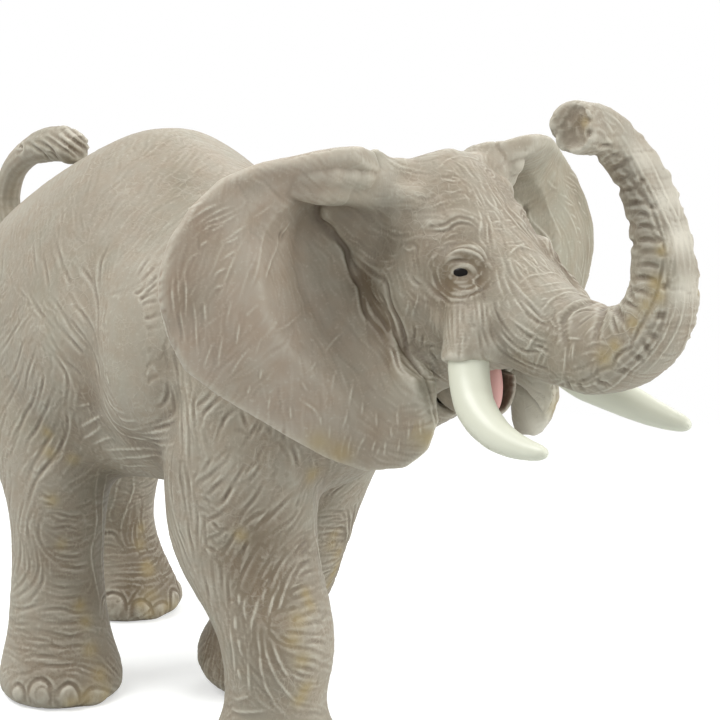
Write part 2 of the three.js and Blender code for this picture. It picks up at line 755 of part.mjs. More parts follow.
function headPiece() {
  const neckToTrunk = ahead(neckSeam + seamGap / 2).intersect(behind(trunkSeam - seamGap / 2));
  const neckAndRoots = barrelForm.add(earForms).intersect(betweenEars);
  const face = headForm.add(neckAndRoots).intersect(neckToTrunk);
  const tuskHole = tuskForm(seamGap);
  const tenonHole = earTenon(seamGap);
  const eyeHole = eyeBall(eyeDiameter / 2 + seamGap);
  const holes = union([tuskHole, tenonHole, eyeHole]);
  const bite = jawForm(-seamGap, 0).add(jawForm(-seamGap, mouthGap));
  const mouth = bite.intersect(ahead(jawSeam));
  return face.add(neckPlug(0)).subtract(holes).subtract(mirrored(holes)).subtract(trunkPeg(seamGap))
    .subtract(mouth).subtract(jawPeg(seamGap)).subtract(tongueForm(seamGap));
}

function eyeBall(radius) {
  return solid(new THREE.SphereGeometry(radius, smallPoints, smallPoints / 2).translate(...headSide(eyeShares)));
}

const trunkPiece = headForm.intersect(ahead(trunkSeam + seamGap / 2)).add(trunkPeg(0));
const earPiece = leftEarForm.intersect(leftOf(earSeam + seamGap / 2)).intersect(ahead(neckSeam + seamGap / 2))
  .subtract(tuskSheath(seamGap)).add(earTenon(0));
const scoop = jawForm(lipThickness, lipThickness).intersect(ahead(jawSeam + lipThickness));
const jawPiece = jawForm(0, 0).intersect(ahead(jawSeam + seamGap / 2)).subtract(scoop).add(jawPeg(0))
  .subtract(tongueForm(seamGap));
const tonguePiece = tongueForm(0);
const tuskPiece = tuskForm(0);
const tailPiece = tailForm().subtract(barrel(-seamGap, barrelRings, barrelPoints)).add(tailPeg(0));

const figure = new THREE.Group();

function place(name, shape, paint) {
  const { vertProperties, triVerts } = shape.getMesh();
  const geometry = new THREE.BufferGeometry();
  geometry.setAttribute('position', new THREE.BufferAttribute(vertProperties, 3));
  geometry.setIndex(new THREE.BufferAttribute(triVerts, 1));
  geometry.computeVertexNormals();
  const mesh = new THREE.Mesh(geometry, new THREE.MeshStandardMaterial({ ...paint, metalness: 0 }));
  mesh.name = name;
  figure.add(mesh);
}

place('right_body_shell', rightShell, hide);
place('left_body_shell', leftShell, hide);
place('right_rear_leg', seatedLeg(rightLegs[0], rightRearShares), hide);
place('right_front_leg', seatedLeg(rightLegs[1], rightFrontShares), hide);
place('left_rear_leg', seatedLeg(leftLegs[0], leftRearShares), hide);
place('left_front_leg', seatedLeg(leftLegs[1], leftFrontShares), hide);
place('head', headPiece(), hide);
place('trunk', trunkPiece, hide);
place('left_ear', earPiece, earSkin);
place('right_ear', mirrored(earPiece), earSkin);
place('lower_jaw', jawPiece, hide);
place('tongue', tonguePiece, tonguePink);
place('left_tusk', tuskPiece, ivory);
place('right_tusk', mirrored(tuskPiece), ivory);
place('left_eye', eyeBall(eyeDiameter / 2), eyeBlack);
place('right_eye', mirrored(eyeBall(eyeDiameter / 2)), eyeBlack);
place('tail', tailPiece, hide);

// The origin lies on the ground, under the middle of the figure's box.
const box = new THREE.Box3().setFromObject(figure);
const middle = box.getCenter(at(0, 0, 0));
figure.position.set(-middle.x, -middle.y, -box.min.z);

export default figure;
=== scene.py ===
import math

import bmesh
import bpy
import numpy as np
from mathutils import Matrix, Vector
from mathutils.bvhtree import BVHTree
from mathutils.kdtree import KDTree

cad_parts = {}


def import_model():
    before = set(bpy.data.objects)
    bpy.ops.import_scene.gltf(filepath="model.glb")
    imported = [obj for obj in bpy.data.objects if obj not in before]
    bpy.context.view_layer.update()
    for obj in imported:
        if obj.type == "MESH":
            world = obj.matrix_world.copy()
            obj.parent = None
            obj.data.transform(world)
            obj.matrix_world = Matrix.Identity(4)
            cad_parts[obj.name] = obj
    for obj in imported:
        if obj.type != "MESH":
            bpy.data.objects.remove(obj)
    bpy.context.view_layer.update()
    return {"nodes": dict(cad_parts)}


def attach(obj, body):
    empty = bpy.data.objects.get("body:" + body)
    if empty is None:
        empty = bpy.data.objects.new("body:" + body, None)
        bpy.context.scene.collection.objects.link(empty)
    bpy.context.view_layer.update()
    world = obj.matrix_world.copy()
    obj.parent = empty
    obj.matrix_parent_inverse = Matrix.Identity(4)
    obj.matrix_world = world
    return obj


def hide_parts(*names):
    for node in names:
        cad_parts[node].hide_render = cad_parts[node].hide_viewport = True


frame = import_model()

# Camera: at the animal's right front and a little above its head, looking slightly down.
HEADING_X, HEADING_Y = 0.743145, 0.669131
pitch = math.radians(10.7)
sight = Vector((-HEADING_X * math.cos(pitch), HEADING_Y * math.cos(pitch), -math.sin(pitch)))
lens_data = bpy.data.cameras.new("front_quarter")
lens_data.sensor_width, lens_data.lens = 36.0, 95.05
lens_data.clip_start, lens_data.clip_end = 0.01, 10.0
camera = bpy.data.objects.new("front_quarter", lens_data)
camera.location = (0.27142, -0.2233, 0.1394)
camera.rotation_mode = "QUATERNION"
camera.rotation_quaternion = sight.to_track_quat("-Z", "Y")
bpy.context.scene.collection.objects.link(camera)
bpy.context.scene.camera = camera
bpy.context.scene.view_settings.view_transform = "Standard"


# Studio: a large soft lamp high on the left of the view, two weaker ones on the right and behind,
# and a pale room that looks white to the eye and in reflections but gives less light than that.
def soft_lamp(name, place, size, power):
    data = bpy.data.lights.new(name, "AREA")
    data.shape, data.size, data.energy = "SQUARE", size, power
    lamp = bpy.data.objects.new(name, data)
    lamp.location = place
    lamp.rotation_mode = "QUATERNION"
    lamp.rotation_quaternion = (Vector((0, 0, 0.06)) - lamp.location).to_track_quat("-Z", "Y")
    bpy.context.scene.collection.objects.link(lamp)


soft_lamp("key_lamp", (-0.2, -0.5, 0.95), 0.6, 10.0)
soft_lamp("fill_lamp", (0.85, 0.5, 0.5), 0.8, 9.0)
soft_lamp("back_lamp", (-0.45, 0.7, 0.8), 0.6, 4.0)

room = bpy.data.worlds.new("pale_room")
bpy.context.scene.world = room
room.use_nodes = True
tree = room.node_tree
tree.nodes.clear()
rays = tree.nodes.new("ShaderNodeLightPath")
seen = tree.nodes.new("ShaderNodeMath")
seen.operation, seen.use_clamp = "ADD", True
dim, white = tree.nodes.new("ShaderNodeBackground"), tree.nodes.new("ShaderNodeBackground")
for glow, strength in ((dim, 0.5), (white, 1.0)):
    glow.inputs["Color"].default_value = (1, 1, 1, 1)
    glow.inputs["Strength"].default_value = strength
blend = tree.nodes.new("ShaderNodeMixShader")
tree.links.new(rays.outputs["Is Camera Ray"], seen.inputs[0])
tree.links.new(rays.outputs["Is Glossy Ray"], seen.inputs[1])
tree.links.new(seen.outputs[0], blend.inputs[0])
tree.links.new(dim.outputs[0], blend.inputs[1])
tree.links.new(white.outputs[0], blend.inputs[2])
tree.links.new(blend.outputs[0], tree.nodes.new("ShaderNodeOutputWorld").inputs[0])


# Floor: a pale sheet that fades to white for the eye and keeps the soft shadows of the feet.
def mesh_of(form, name):
    """The mesh that an editable form makes; the form is used up."""
    mesh = bpy.data.meshes.new(name)
    form.to_mesh(mesh)
    form.free()
    return mesh


sheet = bmesh.new()
bmesh.ops.create_grid(sheet, x_segments=1, y_segments=1, size=3.0)
floor = bpy.data.objects.new("floor", mesh_of(sheet, "floor"))
bpy.context.scene.collection.objects.link(floor)
paper = bpy.data.materials.new("pale_floor")
floor.data.materials.append(paper)
paper.use_nodes = True
tree = paper.node_tree
tree.nodes.clear()
rays = tree.nodes.new("ShaderNodeLightPath")
matt, glow = tree.nodes.new("ShaderNodeBsdfDiffuse"), tree.nodes.new("ShaderNodeEmission")
matt.inputs["Color"].default_value = (0.68, 0.695, 0.69, 1)
glow.inputs["Strength"].default_value = 0.45
place, away = tree.nodes.new("ShaderNodeTexCoord"), tree.nodes.new("ShaderNodeVectorMath")
away.operation = "LENGTH"
fade = tree.nodes.new("ShaderNodeMapRange")
fade.inputs["From Min"].default_value, fade.inputs["From Max"].default_value = 0.13, 0.3
sum_up, bare = tree.nodes.new("ShaderNodeAddShader"), tree.nodes.new("ShaderNodeEmission")
edge, choose = tree.nodes.new("ShaderNodeMixShader"), tree.nodes.new("ShaderNodeMixShader")
tree.links.new(matt.outputs[0], sum_up.inputs[0])
tree.links.new(glow.outputs[0], sum_up.inputs[1])
tree.links.new(place.outputs["Object"], away.inputs[0])
tree.links.new(away.outputs["Value"], fade.inputs["Value"])
tree.links.new(fade.outputs["Result"], edge.inputs[0])
tree.links.new(sum_up.outputs[0], edge.inputs[1])
tree.links.new(bare.outputs[0], edge.inputs[2])
tree.links.new(rays.outputs["Is Camera Ray"], choose.inputs[0])
tree.links.new(matt.outputs[0], choose.inputs[1])
tree.links.new(edge.outputs[0], choose.inputs[2])
tree.links.new(choose.outputs[0], tree.nodes.new("ShaderNodeOutputMaterial").inputs[0])

# Hide: body shells, legs, head, trunk and ears of the toy are hollow casts of soft vinyl, glued into
# one another. Their skin is sculpted as one surface, which grows out of copies of the solids, in
# millimetres, and is parted along the moulding's seams afterwards.
MM = 1000.0
BODY_VOXEL, HEAD_VOXEL = ((0.36, 0.275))


def poured(form, mesh):
    """Adds a mesh to an editable form and drops the mesh."""
    form.from_mesh(mesh)
    bpy.data.meshes.remove(mesh)


def copied(names, swell=0.0):
    """Copies of the named solids, each pushed outward by the swell."""
    form = bmesh.new()
    for name in names:
        part = bmesh.new()
        part.from_mesh(frame["nodes"][name].data)
        bmesh.ops.remove_doubles(part, verts=part.verts, dist=1e-6)
        bmesh.ops.scale(part, vec=(MM, MM, MM), verts=part.verts)
        part.normal_update()
        for vert in part.verts:
            vert.co += vert.normal * swell
        poured(form, mesh_of(part, name + "_copy"))
    return form


def arrays(mesh):
    """A mesh of quads as an array of points and one of corners."""
    points = np.empty(len(mesh.vertices) * 3, np.float32)
    mesh.vertices.foreach_get("co", points)
    corners = np.empty(len(mesh.loops), np.int32)
    mesh.loops.foreach_get("vertex_index", corners)
    return points.reshape(-1, 3).astype(np.float64), corners.reshape(-1, 4)


def mesh_from(points, quads):
    mesh = bpy.data.meshes.new("skin")
    mesh.vertices.add(len(points))
    mesh.vertices.foreach_set("co", points.astype(np.float32).ravel())
    mesh.loops.add(quads.size)
    mesh.loops.foreach_set("vertex_index", quads.astype(np.int32).ravel())
    mesh.polygons.add(len(quads))
    mesh.polygons.foreach_set("loop_start", np.arange(0, quads.size, 4, dtype=np.int32))
    mesh.update()
    return mesh


def remeshed(mesh, voxel, divide=0):
    """The outer skin of a mesh, divided first if asked, as even quads; the mesh is used up."""
    body = bpy.data.objects.new("form", mesh)
    bpy.context.scene.collection.objects.link(body)
    if divide:
        finer = body.modifiers.new("divide", "SUBSURF")
        finer.levels = finer.render_levels = divide
    remesh = body.modifiers.new("remesh", "REMESH")
    remesh.mode = "VOXEL"
    remesh.voxel_size = voxel
    made = bpy.data.meshes.new_from_object(body.evaluated_get(bpy.context.evaluated_depsgraph_get()))
    bpy.data.objects.remove(body)
    bpy.data.meshes.remove(mesh)
    found = arrays(made)
    bpy.data.meshes.remove(made)
    return found


def around(values, quads):
    """The mean of each point's neighbours."""
    count = np.bincount(quads.ravel(), minlength=len(values)) * 2.0
    total = np.empty_like(values)
    for axis in range(values.shape[1]):
        column = values[:, axis]
        sums = (column[np.roll(quads, 1, 1)] + column[np.roll(quads, -1, 1)]).ravel()
        total[:, axis] = np.bincount(quads.ravel(), sums, minlength=len(values))
    return total / count[:, None]


def normals_of(points, quads):
    a, b, c, d = (points[quads[:, i]] for i in range(4))
    faces = np.cross(c - a, d - b)
    total = np.empty_like(points)
    for axis in range(3):
        total[:, axis] = np.bincount(quads.ravel(), np.repeat(faces[:, axis], 4), minlength=len(points))
    return total / np.maximum(np.linalg.norm(total, axis=1), 1e-9)[:, None]


def smoothed(points, quads, rounds, back=0.95):
    """Each round moves the points to their neighbours' middle, and part of the way back again."""
    for _ in range(rounds):
        points = points + 0.6 * (around(points, quads) - points)
        if back:
            points = points - 0.6 * back * (around(points, quads) - points)
    return points


def outermost(points, quads):
    """Only the skin that holds the highest point, without the walls of hollows inside."""
    label = np.arange(len(points))
    while True:
        fresh = label.copy()
        np.minimum.at(fresh, quads.ravel(), np.repeat(label[quads].min(1), 4))
        fresh = fresh[fresh]
        if np.array_equal(fresh, label):
            break
        label = fresh
    keep = label == label[np.argmax(points[:, 2])]
    return points[keep], (np.cumsum(keep) - 1)[quads[keep[quads[:, 0]]]]


def add_lump(form, place, radii, way=(0, 0, 1), detail=4):
    """An egg whose third radius lies along the given way."""
    turn = Vector(way).to_track_quat("Z", "Y").to_matrix().to_4x4()
    spread = Matrix.Diagonal((*radii, 1))
    bmesh.ops.create_icosphere(form, subdivisions=detail, radius=1,
                               matrix=Matrix.Translation(place) @ turn @ spread)


def form_of(names, swell, voxel, rounds, lumps=()):
    """Solids and lumps run together into one rounded skin."""
    form = copied(names, swell)
    for lump in lumps:
        add_lump(form, *lump)
    points, quads = outermost(*remeshed(mesh_of(form, "form"), voxel))
    return smoothed(points, quads, rounds, back=0), quads


def joined(forms, voxel):
    points = np.concatenate([form[0] for form in forms])
    offsets = np.cumsum([0] + [len(form[0]) for form in forms])
    quads = np.concatenate([form[1] + offset for form, offset in zip(forms, offsets)])
    return remeshed(mesh_from(points, quads), voxel, 1)


# The tail's root closes its own hole in the rump, so a plug stands in for it here.
TAIL_PLUG = ((-85.6, 0, 88.0), (3.2, 3.2, 3.2))
torso_form = form_of(
    ["right_body_shell", "left_body_shell", "right_rear_leg", "right_front_leg", "left_rear_leg",
     "left_front_leg"], 0.55, 1.3, 10, [TAIL_PLUG])

# Lids round the eye, the thick band that runs from the ear's top edge into the forehead, and
# the cheek that fills in beside the sheath of the tusk: centre, radii and the way the lump faces.
# They are given for the left side; those that lie far out on the ear stand on the right one only.
FAR_OUT = 20
LUMPS = (
    (58.8, 10.1, 96.6, 2.4, 2.2, 1.9, 0.6, 0.75, 0.2), (38.6, 28.4, 110.2, 1.6, 1.9, 1.9),
    (39.2, 26.2, 110.1, 2.2, 2.4, 2.5), (40.2, 28.4, 112.6, 1.5, 1.9, 1.7), (41.3, 26, 112.7, 2.1, 2.3, 2.2),
    (42.4, 23.2, 112.6, 2.5, 2.5, 2.5), (42.6, 20.5, 112.4, 2.6, 2.6, 2.6), (42.6, 17.8, 112, 2.7, 2.7, 2.7),
    (37.8, 13.6, 103.5, 3.6, 3.6, 5), (36.6, 15.8, 104.5, 3, 3, 4), (36.2, 18, 105.6, 2.4, 2.4, 3),
    (41, 11.5, 102.5, 4, 3.6, 5), (45, 10.8, 103, 4, 3.4, 5), (39.5, 13, 98.8, 3, 2.6, 3.5),
    (39.9, 23.6, 109.8, 2.9, 2.9, 2.9), (40, 20.8, 109.3, 3, 3, 3), (40.2, 18, 108.9, 3, 3, 3),
    (40.8, 15.6, 108.5, 3, 3, 3), (41.8, 13.4, 108.1, 3, 3, 3), (43.3, 11.9, 107.8, 3, 3, 3),
    (45.4, 10.8, 107.6, 3, 3, 3), (47.4, 9.9, 107.4, 2.9, 2.9, 2.9), (41.5, 11.5, 111, 3.4, 3.4, 3.2),
    (42.5, 8.5, 111, 3.4, 3.4, 3.2), (41.5, 14.2, 111.2, 3.2, 3.2, 3.2),
    (64, 11, 88, 3.4, 3, 5.2, 0.1, 0.1, 1), (57, 11, 89, 4, 3, 4), (66.2, 11, 85.9, 2.4, 2.6, 1.9),
    (60.8, 10.9, 92, 3.6, 2.9, 3.8),
)
head_lumps = []
for x, y, z, a, b, c, *way in LUMPS:
    for turn in (1, -1):
        if y * turn < FAR_OUT:
            faces = (way[0], way[1] * turn, way[2]) if way else (0, 0, 1)
            head_lumps.append(((x, y * turn, z), (a, b, c), faces))
head_form = form_of(["head"], 0.4, 0.6, 7, head_lumps)
# The upper lip arches over the mouth.
lip = np.exp(-((head_form[0][:, 0] - 65) / 4.5) ** 2 - (head_form[0][:, 1] / 8) ** 2)
head_form[0][:, 2] += 1.2 * lip * np.clip((87 - head_form[0][:, 2]) / 4, 0, 1)
TIP, TIP_WAY = (85.1, -13.3, 121.6), (0.62, -0.78, 0.08)
trunk_form = form_of(["trunk"], 0.36, 0.4, 5, [(TIP, (3.9, 3.8, 1.5), TIP_WAY)])
ear_forms = [form_of([name], 0.22, 0.5, 5) for name in ("left_ear", "right_ear")]
# The ears spread a little wider than their cores, and the left one's lobe hangs further back.
for (ear, _), turn, spread, slide in zip(ear_forms, (1, -1), (0.9, 1.2), (0.4, -1.1)):
    outer = np.clip((ear[:, 1] * turn - 22) / 22, 0, 1)
    middle = np.exp(-((ear[:, 2] - 93) / 17) ** 2)
    ear[:, 1] += turn * spread * outer * middle
    ear[:, 0] += slide * outer * middle
left_ear = ear_forms[0][0]
left_ear[:, 0] -= 1.5 * np.clip((80 - left_ear[:, 2]) / 9, 0, 1) * np.clip((left_ear[:, 1] - 11) / 3, 0, 1)
# The back dips ahead of its hump.
torso = torso_form[0]
dip = np.exp(-((torso[:, 0] + 8) / 13) ** 2) * np.clip((torso[:, 2] - 92) / 16, 0, 1)
torso[:, 2] -= 3.4 * dip

# Where the toy's pieces meet: legs by height, neck and trunk by length, ears by width.
SEAM_LEG, SEAM_NECK, SEAM_TRUNK, SEAM_EAR, EAR_FRONT = 41.98, 30.92, 74.92, 14.3, 58.7
body_skin = joined([torso_form, head_form, trunk_form, *ear_forms], BODY_VOXEL)

# The head's finer skin needs only the neck's end of the torso.
NECK_START = 20
front = bmesh.new()
poured(front, mesh_from(*torso_form))
cut = bmesh.ops.bisect_plane(front, geom=[*front.verts, *front.edges, *front.faces],
                             plane_co=(NECK_START, 0, 0), plane_no=(1, 0, 0), clear_inner=True)
rim = [item for item in cut["geom_cut"] if isinstance(item, bmesh.types.BMEdge)]
bmesh.ops.holes_fill(front, edges=rim)
bmesh.ops.triangulate(front, faces=[face for face in front.faces if len(face.verts) > 4])
for form in (head_form, trunk_form, *ear_forms):
    poured(front, mesh_from(*form))
head_skin = remeshed(mesh_of(front, "front"), HEAD_VOXEL, 1)

# Folds of the near side, drawn as seen from the front quarter: points across and down on a
# 720 by 720 sheet. Each group gives the groove's half width and depth in millimetres.
FOLDS = {
    "brow": (0.34, 0.42, (
        (425, 226, 440, 226.5, 450, 222, 457, 218.5, 463, 219, 470, 221, 477, 226, 482, 232, 487, 240),
        (427, 231, 438, 231.5, 445, 231, 450, 229, 455, 225, 462, 223.5, 470, 225, 476, 229),
        (440, 262, 446, 255, 453, 251, 462, 249, 472, 250.5, 481, 255, 487, 263, 490, 273),
        (482, 213, 487, 220, 489, 231, 491, 240, 492, 250),
        (442, 271, 450, 262, 460, 260, 470, 262, 477, 268, 479.5, 276, 478, 283),
        (452, 284, 459, 288.5, 469, 289, 475.5, 285, 480, 279),
        (430, 264, 434, 273, 438, 284, 446, 293, 455, 297.3, 466, 297.3, 477, 292, 484, 287),
        (424, 269, 425.5, 280, 432, 288, 440, 296, 451, 302.5, 462, 303),
        (412, 272, 413.5, 279, 419, 284, 423, 286), (433, 266, 434, 278, 440, 288, 448, 294.5))),
    "eye_slit": (0.95, 0.95, (
        (455, 275, 458, 273.5, 463, 272.5, 467, 273, 470, 274.5),)),
    "nostrils": (0.6, 0.3, (
        (567, 116, 564, 125, 567, 135), (578, 115, 577, 125, 581, 136))),
    "brow_fine": (0.27, 0.24, (
        (470, 234, 477, 237.5, 482, 244, 487, 251, 490, 256), (470, 240, 477, 245.5, 483, 252, 489, 260),
        (471, 230.5, 479, 237.5, 486, 247, 490, 253), (468, 245, 475, 250, 481, 255),
        (428, 264, 432, 257, 437.5, 252), (431, 262, 435, 256, 440, 253), (433, 297, 440, 305, 445, 312),
        (418, 291, 417.5, 300, 413.5, 311, 411, 319), (424, 292, 425.5, 303, 424, 314),
        (409, 296, 409, 306, 405, 316), (430, 305, 430, 315, 427, 327),
        (376, 257.5, 380, 261, 387, 261.5, 392, 260), (380, 267, 385.5, 269.5, 393, 265.5),
        (384, 253, 390, 256, 397, 253), (404, 228, 409, 233, 408, 240), (402, 246, 408, 250, 414, 247),
        (444, 239, 452, 234, 459, 233), (440, 246, 449, 241, 458, 240))),
    "forehead": (0.33, 0.36, (
        (470, 182.5, 474, 191, 478, 199, 482, 206, 487, 214),
        (479.5, 182.5, 483.5, 193, 489, 203, 497, 211, 503, 219, 509, 227, 513, 235, 517, 243),
        (485, 178.5, 490, 189, 495.5, 197.5, 501, 205.5, 507.5, 213.5, 515.5, 223, 522, 232, 527, 241),
        (499, 194.5, 505, 202.5, 510, 209.5, 518, 219, 526, 227, 533, 235, 539.5, 244, 546, 252),
        (515.5, 198.5, 522, 208, 526, 219),
        (529, 207, 531.5, 220, 542, 231, 550, 241.5, 552.5, 252, 551, 261),
        (511.5, 255, 514, 263, 518, 271, 523.5, 279, 529, 288), (529, 253.5, 535.5, 264, 541, 273.5),
        (522, 263, 526, 272, 530, 281), (537, 253.5, 543.5, 264, 549, 272),
        (554, 255, 562, 266, 571, 277, 580, 286), (510, 277, 515.5, 285, 522, 293, 529, 300, 535.5, 307),
        (503, 268, 505, 280, 510, 291, 517, 301), (496, 262, 497, 275, 500, 288, 505, 300))),
    "forehead_fine": (0.27, 0.22, (
        (450, 158.5, 457, 162.5, 465, 168, 470, 175),
        (450, 155.5, 459, 156, 469, 157.5, 477, 160, 486, 165, 491, 168.5),
        (452, 165.5, 455.5, 172, 461, 179), (492, 182.5, 498, 192), (462, 152.5, 475, 154, 487, 158),
        (463, 190, 467, 198, 470, 206), (474, 176, 482, 186, 486, 196), (494, 227, 505, 221.5),
        (512.5, 242.5, 521, 241, 529, 240), (477, 199, 489, 200), (477, 207.5, 489, 207.5),
        (511, 251.5, 520, 246, 531.5, 243), (536.5, 275, 543.5, 274.5, 553, 272.5),
        (550, 299, 555.5, 296, 563.5, 295.5, 571.5, 294.5), (500, 231, 510, 227), (495, 214, 505, 209),
        (485, 190, 495, 186), (540, 286, 552, 284, 563, 283), (545, 262, 554, 260), (505, 262, 512, 258),
        (519, 284, 529, 281), (440, 178, 452, 181, 462, 180), (440, 190, 452, 192, 463, 189),
        (444, 170, 455, 172), (443, 201, 455, 203, 466, 201))),
    "cheek_net": (0.3, 0.42, (
        (500, 333, 512, 345, 528, 356), (508, 312, 515, 322, 528, 330, 548, 342),
        (518, 298, 530, 310, 544, 322), (506, 328, 520, 338, 536, 348, 552, 357),
        (537, 333, 530, 344, 524, 353), (548, 342, 538, 360, 532, 378), (564, 338, 581, 339),
        (566, 344, 565, 362, 563, 376), (574, 342, 572, 361), (512, 294, 518, 304, 528, 315),
        (540, 276, 552, 274, 566, 280), (508, 256, 516, 248, 528, 243), (509, 257, 512, 270, 520, 285),
        (540, 314, 552, 298, 565, 292, 578, 293), (558, 330, 570, 318, 579, 308),
        (474, 194, 477, 201, 480, 209), (480, 190, 488, 202, 500, 212, 508, 228, 514, 242),
        (488, 218, 487, 230, 488, 243), (490, 224, 497, 222, 505, 222), (508, 230, 514, 227, 521, 226),
        (518, 262, 524, 276, 531, 290), (529, 256, 534, 268, 541, 280))),
    "cheek": (0.34, 0.4, (
        (488.5, 325.5, 491.5, 334.5, 496, 344, 502.5, 351.5, 510, 357.5, 519, 362.5, 528.5, 367, 538, 370),
        (499, 321, 502.5, 330, 507, 337.5, 514.5, 345.5, 522.5, 351.5, 530, 353),
        (510, 313, 514.5, 322.5, 521, 330, 528.5, 336, 537.5, 341, 548.5, 342.5),
        (516, 297.5, 522.5, 307, 530, 316, 537.5, 321, 547, 325.5, 553, 328.5),
        (525.5, 299, 534.5, 310, 544, 321),
        (504, 334.5, 510, 341, 519, 348.5, 528.5, 351.5, 537.5, 351, 547, 351.5),
        (530, 347, 541, 347.5, 551.5, 353), (522, 359, 531.5, 364, 541, 367, 548.5, 368.5),
        (564, 324, 571.5, 316, 582.5, 310, 598, 311), (574.5, 328.5, 584, 321, 596, 313),
        (604, 311.5, 601, 324, 596, 336), (614.5, 307, 613, 317.5, 616, 328.5, 619, 336),
        (494, 300, 497, 312, 503, 324, 510, 333, 519, 341))),
    "cheek_fine": (0.27, 0.24, (
        (550, 350, 545.5, 357.5, 541, 367), (574.5, 341, 570, 351.5, 568.5, 362.5), (519, 347, 516, 353),
        (550, 307, 557.5, 304, 565.5, 301), (611.5, 299, 619, 307, 627, 313), (546, 332, 550, 325),
        (560, 334, 566, 327), (535, 330, 541, 324), (556, 345, 563, 338), (583, 338, 590, 330, 597, 325),
        (560, 362, 567, 357), (530, 322, 534, 317), (522, 314, 527, 309), (555, 316, 562, 311),
        (586, 345, 600, 342, 612, 346), (580, 355, 592, 352, 603, 354), (556, 373, 570, 372, 583, 370),
        (590, 362, 597, 357), (540, 300, 548, 298), (556, 290, 568, 288, 578, 289),
        (588, 296, 594, 302, 602, 304), (570, 301, 580, 302), (608, 320, 612, 331), (622, 322, 627, 332),
        (600, 300, 606, 306), (498, 300, 500, 309), (507, 300, 511, 310), (553, 380, 566, 378),
        (512, 366, 524, 371, 536, 375), (506, 348, 513, 355))),
    "tusk_flap": (0.32, 0.34, (
        (449, 310, 448.5, 321, 450, 336, 451.5, 350), (453, 308.5, 453, 330, 454.5, 348),
        (459, 305.5, 459, 330, 457.5, 347), (471.5, 301, 473, 314.5, 472, 325),
        (474.5, 299, 477, 313, 476, 321), (481, 297.5, 482.5, 313, 483, 325), (483, 330, 487, 341, 490, 350),
        (463, 309, 464, 325), (465, 330, 466, 340, 464, 349), (478, 330, 480, 341, 481, 350),
        (487, 306, 487, 318), (444, 318, 443, 332, 445, 345))),
    "ear_root": (0.55, 0.95, (
        (313, 215, 322, 222.5, 331, 231.5, 339, 241, 346, 250, 348, 260, 351, 272, 356, 281.5, 360, 288,
         362, 300, 365, 312, 372, 321.5, 380, 331, 387, 340),
        (348, 252, 354, 257, 360, 263, 368, 269.5, 376, 275, 383, 279, 387, 287, 389.5, 297.5, 393, 308,
         398.5, 320, 402.5, 332, 405.5, 344, 407, 353.5, 413.5, 363, 420, 373.5, 427, 380, 431, 387))),
    "ear_root_fine": (0.34, 0.4, (
        (369, 289, 373.5, 297.5, 380, 305.5, 385.5, 312), (378.5, 289, 382.5, 297.5, 388, 308),
        (380, 300, 385.5, 308, 391, 317.5, 393.5, 328, 396, 338.5, 400, 347),
        (370, 303, 377, 313, 384, 322, 389, 333), (388, 345, 393.5, 349.5, 396, 358.5, 399, 368, 407, 376),
        (400, 359, 407, 365.5, 415, 372, 423, 380), (412, 364, 420, 373.5, 427, 378.5, 440, 380),
        (420, 356, 428, 362.5, 436, 369.5), (424, 362.5, 432, 372, 441, 378.5, 448, 382.5),
        (425, 347, 434, 347), (428, 351, 437.5, 362.5), (412, 323, 413.5, 333.5, 413, 345),
        (421, 336, 421, 348), (433, 322, 432, 334))),
    "ear_scratch": (0.28, 0.27, (
        (186, 223, 196, 215.5, 207, 208.5, 220, 203),
        (191.5, 230, 203, 220, 213, 214, 224, 208.5, 236, 205.5),
        (193, 234, 206, 223, 217, 218.5, 230, 213, 241.5, 206, 247, 200),
        (190, 241, 197, 234.5, 210, 226, 221.5, 223, 234, 216, 243, 211.5),
        (201.5, 233, 213, 230, 224, 224.5, 230, 222), (218.5, 243, 230, 237, 241.5, 228.5, 250, 224),
        (221.5, 244, 233, 240, 241.5, 234), (187, 263, 191.5, 257, 200, 251.5),
        (221.5, 260, 230, 254, 238.5, 249), (213, 278.5, 218.5, 271.5, 230, 267),
        (253, 218.5, 264, 211.5, 273, 204), (214, 288.5, 226, 284), (182, 214, 192, 207, 203, 202),
        (200, 246, 208, 240), (173.5, 277, 172, 291, 173.5, 306, 176, 320), (179, 266, 178, 285, 180, 305),
        (184, 271, 186, 291, 186, 320), (180, 300, 181, 314, 184, 333, 186, 347),
        (193, 300, 196, 321, 197, 343, 199, 357), (224, 333, 220, 348.5, 218, 367),
        (213, 341.5, 207, 357, 204, 368.5), (248.5, 348.5, 238.5, 361.5, 230, 375.5),
        (261.5, 368.5, 260, 380), (300, 313, 286, 325.5, 274, 331.5), (300, 400, 313, 408.5, 320, 418.5),
        (316, 361.5, 310, 371.5), (348.5, 430, 344, 440, 341.5, 451.5, 340, 463),
        (337.5, 368, 333.5, 378.5, 332, 390.5), (353.5, 382.5, 350.5, 396, 349, 406.5),
        (348, 409, 345.5, 420, 342.5, 428), (351.5, 434.5, 349, 445.5, 348, 456),
        (366.5, 434.5, 360, 445.5, 356, 457.5), (376.5, 438.5, 373.5, 446.5, 372, 453.5),
        (380, 446.5, 376, 456), (398.5, 404, 397.5, 417.5, 398.5, 428), (409, 418.5, 409, 429, 408, 441),
        (320, 416, 321.5, 425.5), (345.5, 437.5, 342.5, 446.5, 340, 457.5), (390.5, 425.5, 392, 438.5),
        (344, 330.5, 332, 342.5, 324, 353.5), (300, 380, 308, 392), (420, 420, 421, 436),
        (363, 400, 362, 415), (376, 410, 377, 428), (232, 300, 226, 320), (204, 300, 206, 325),
        (270, 395, 268, 410), (290, 405, 291, 420), (330, 425, 329, 440), (386, 440, 384, 455),
        (400, 438, 398, 452), (250, 385, 247, 396), (240, 320, 236, 345), (262, 335, 255, 355))),
    "far_ear": (0.32, 0.2, (
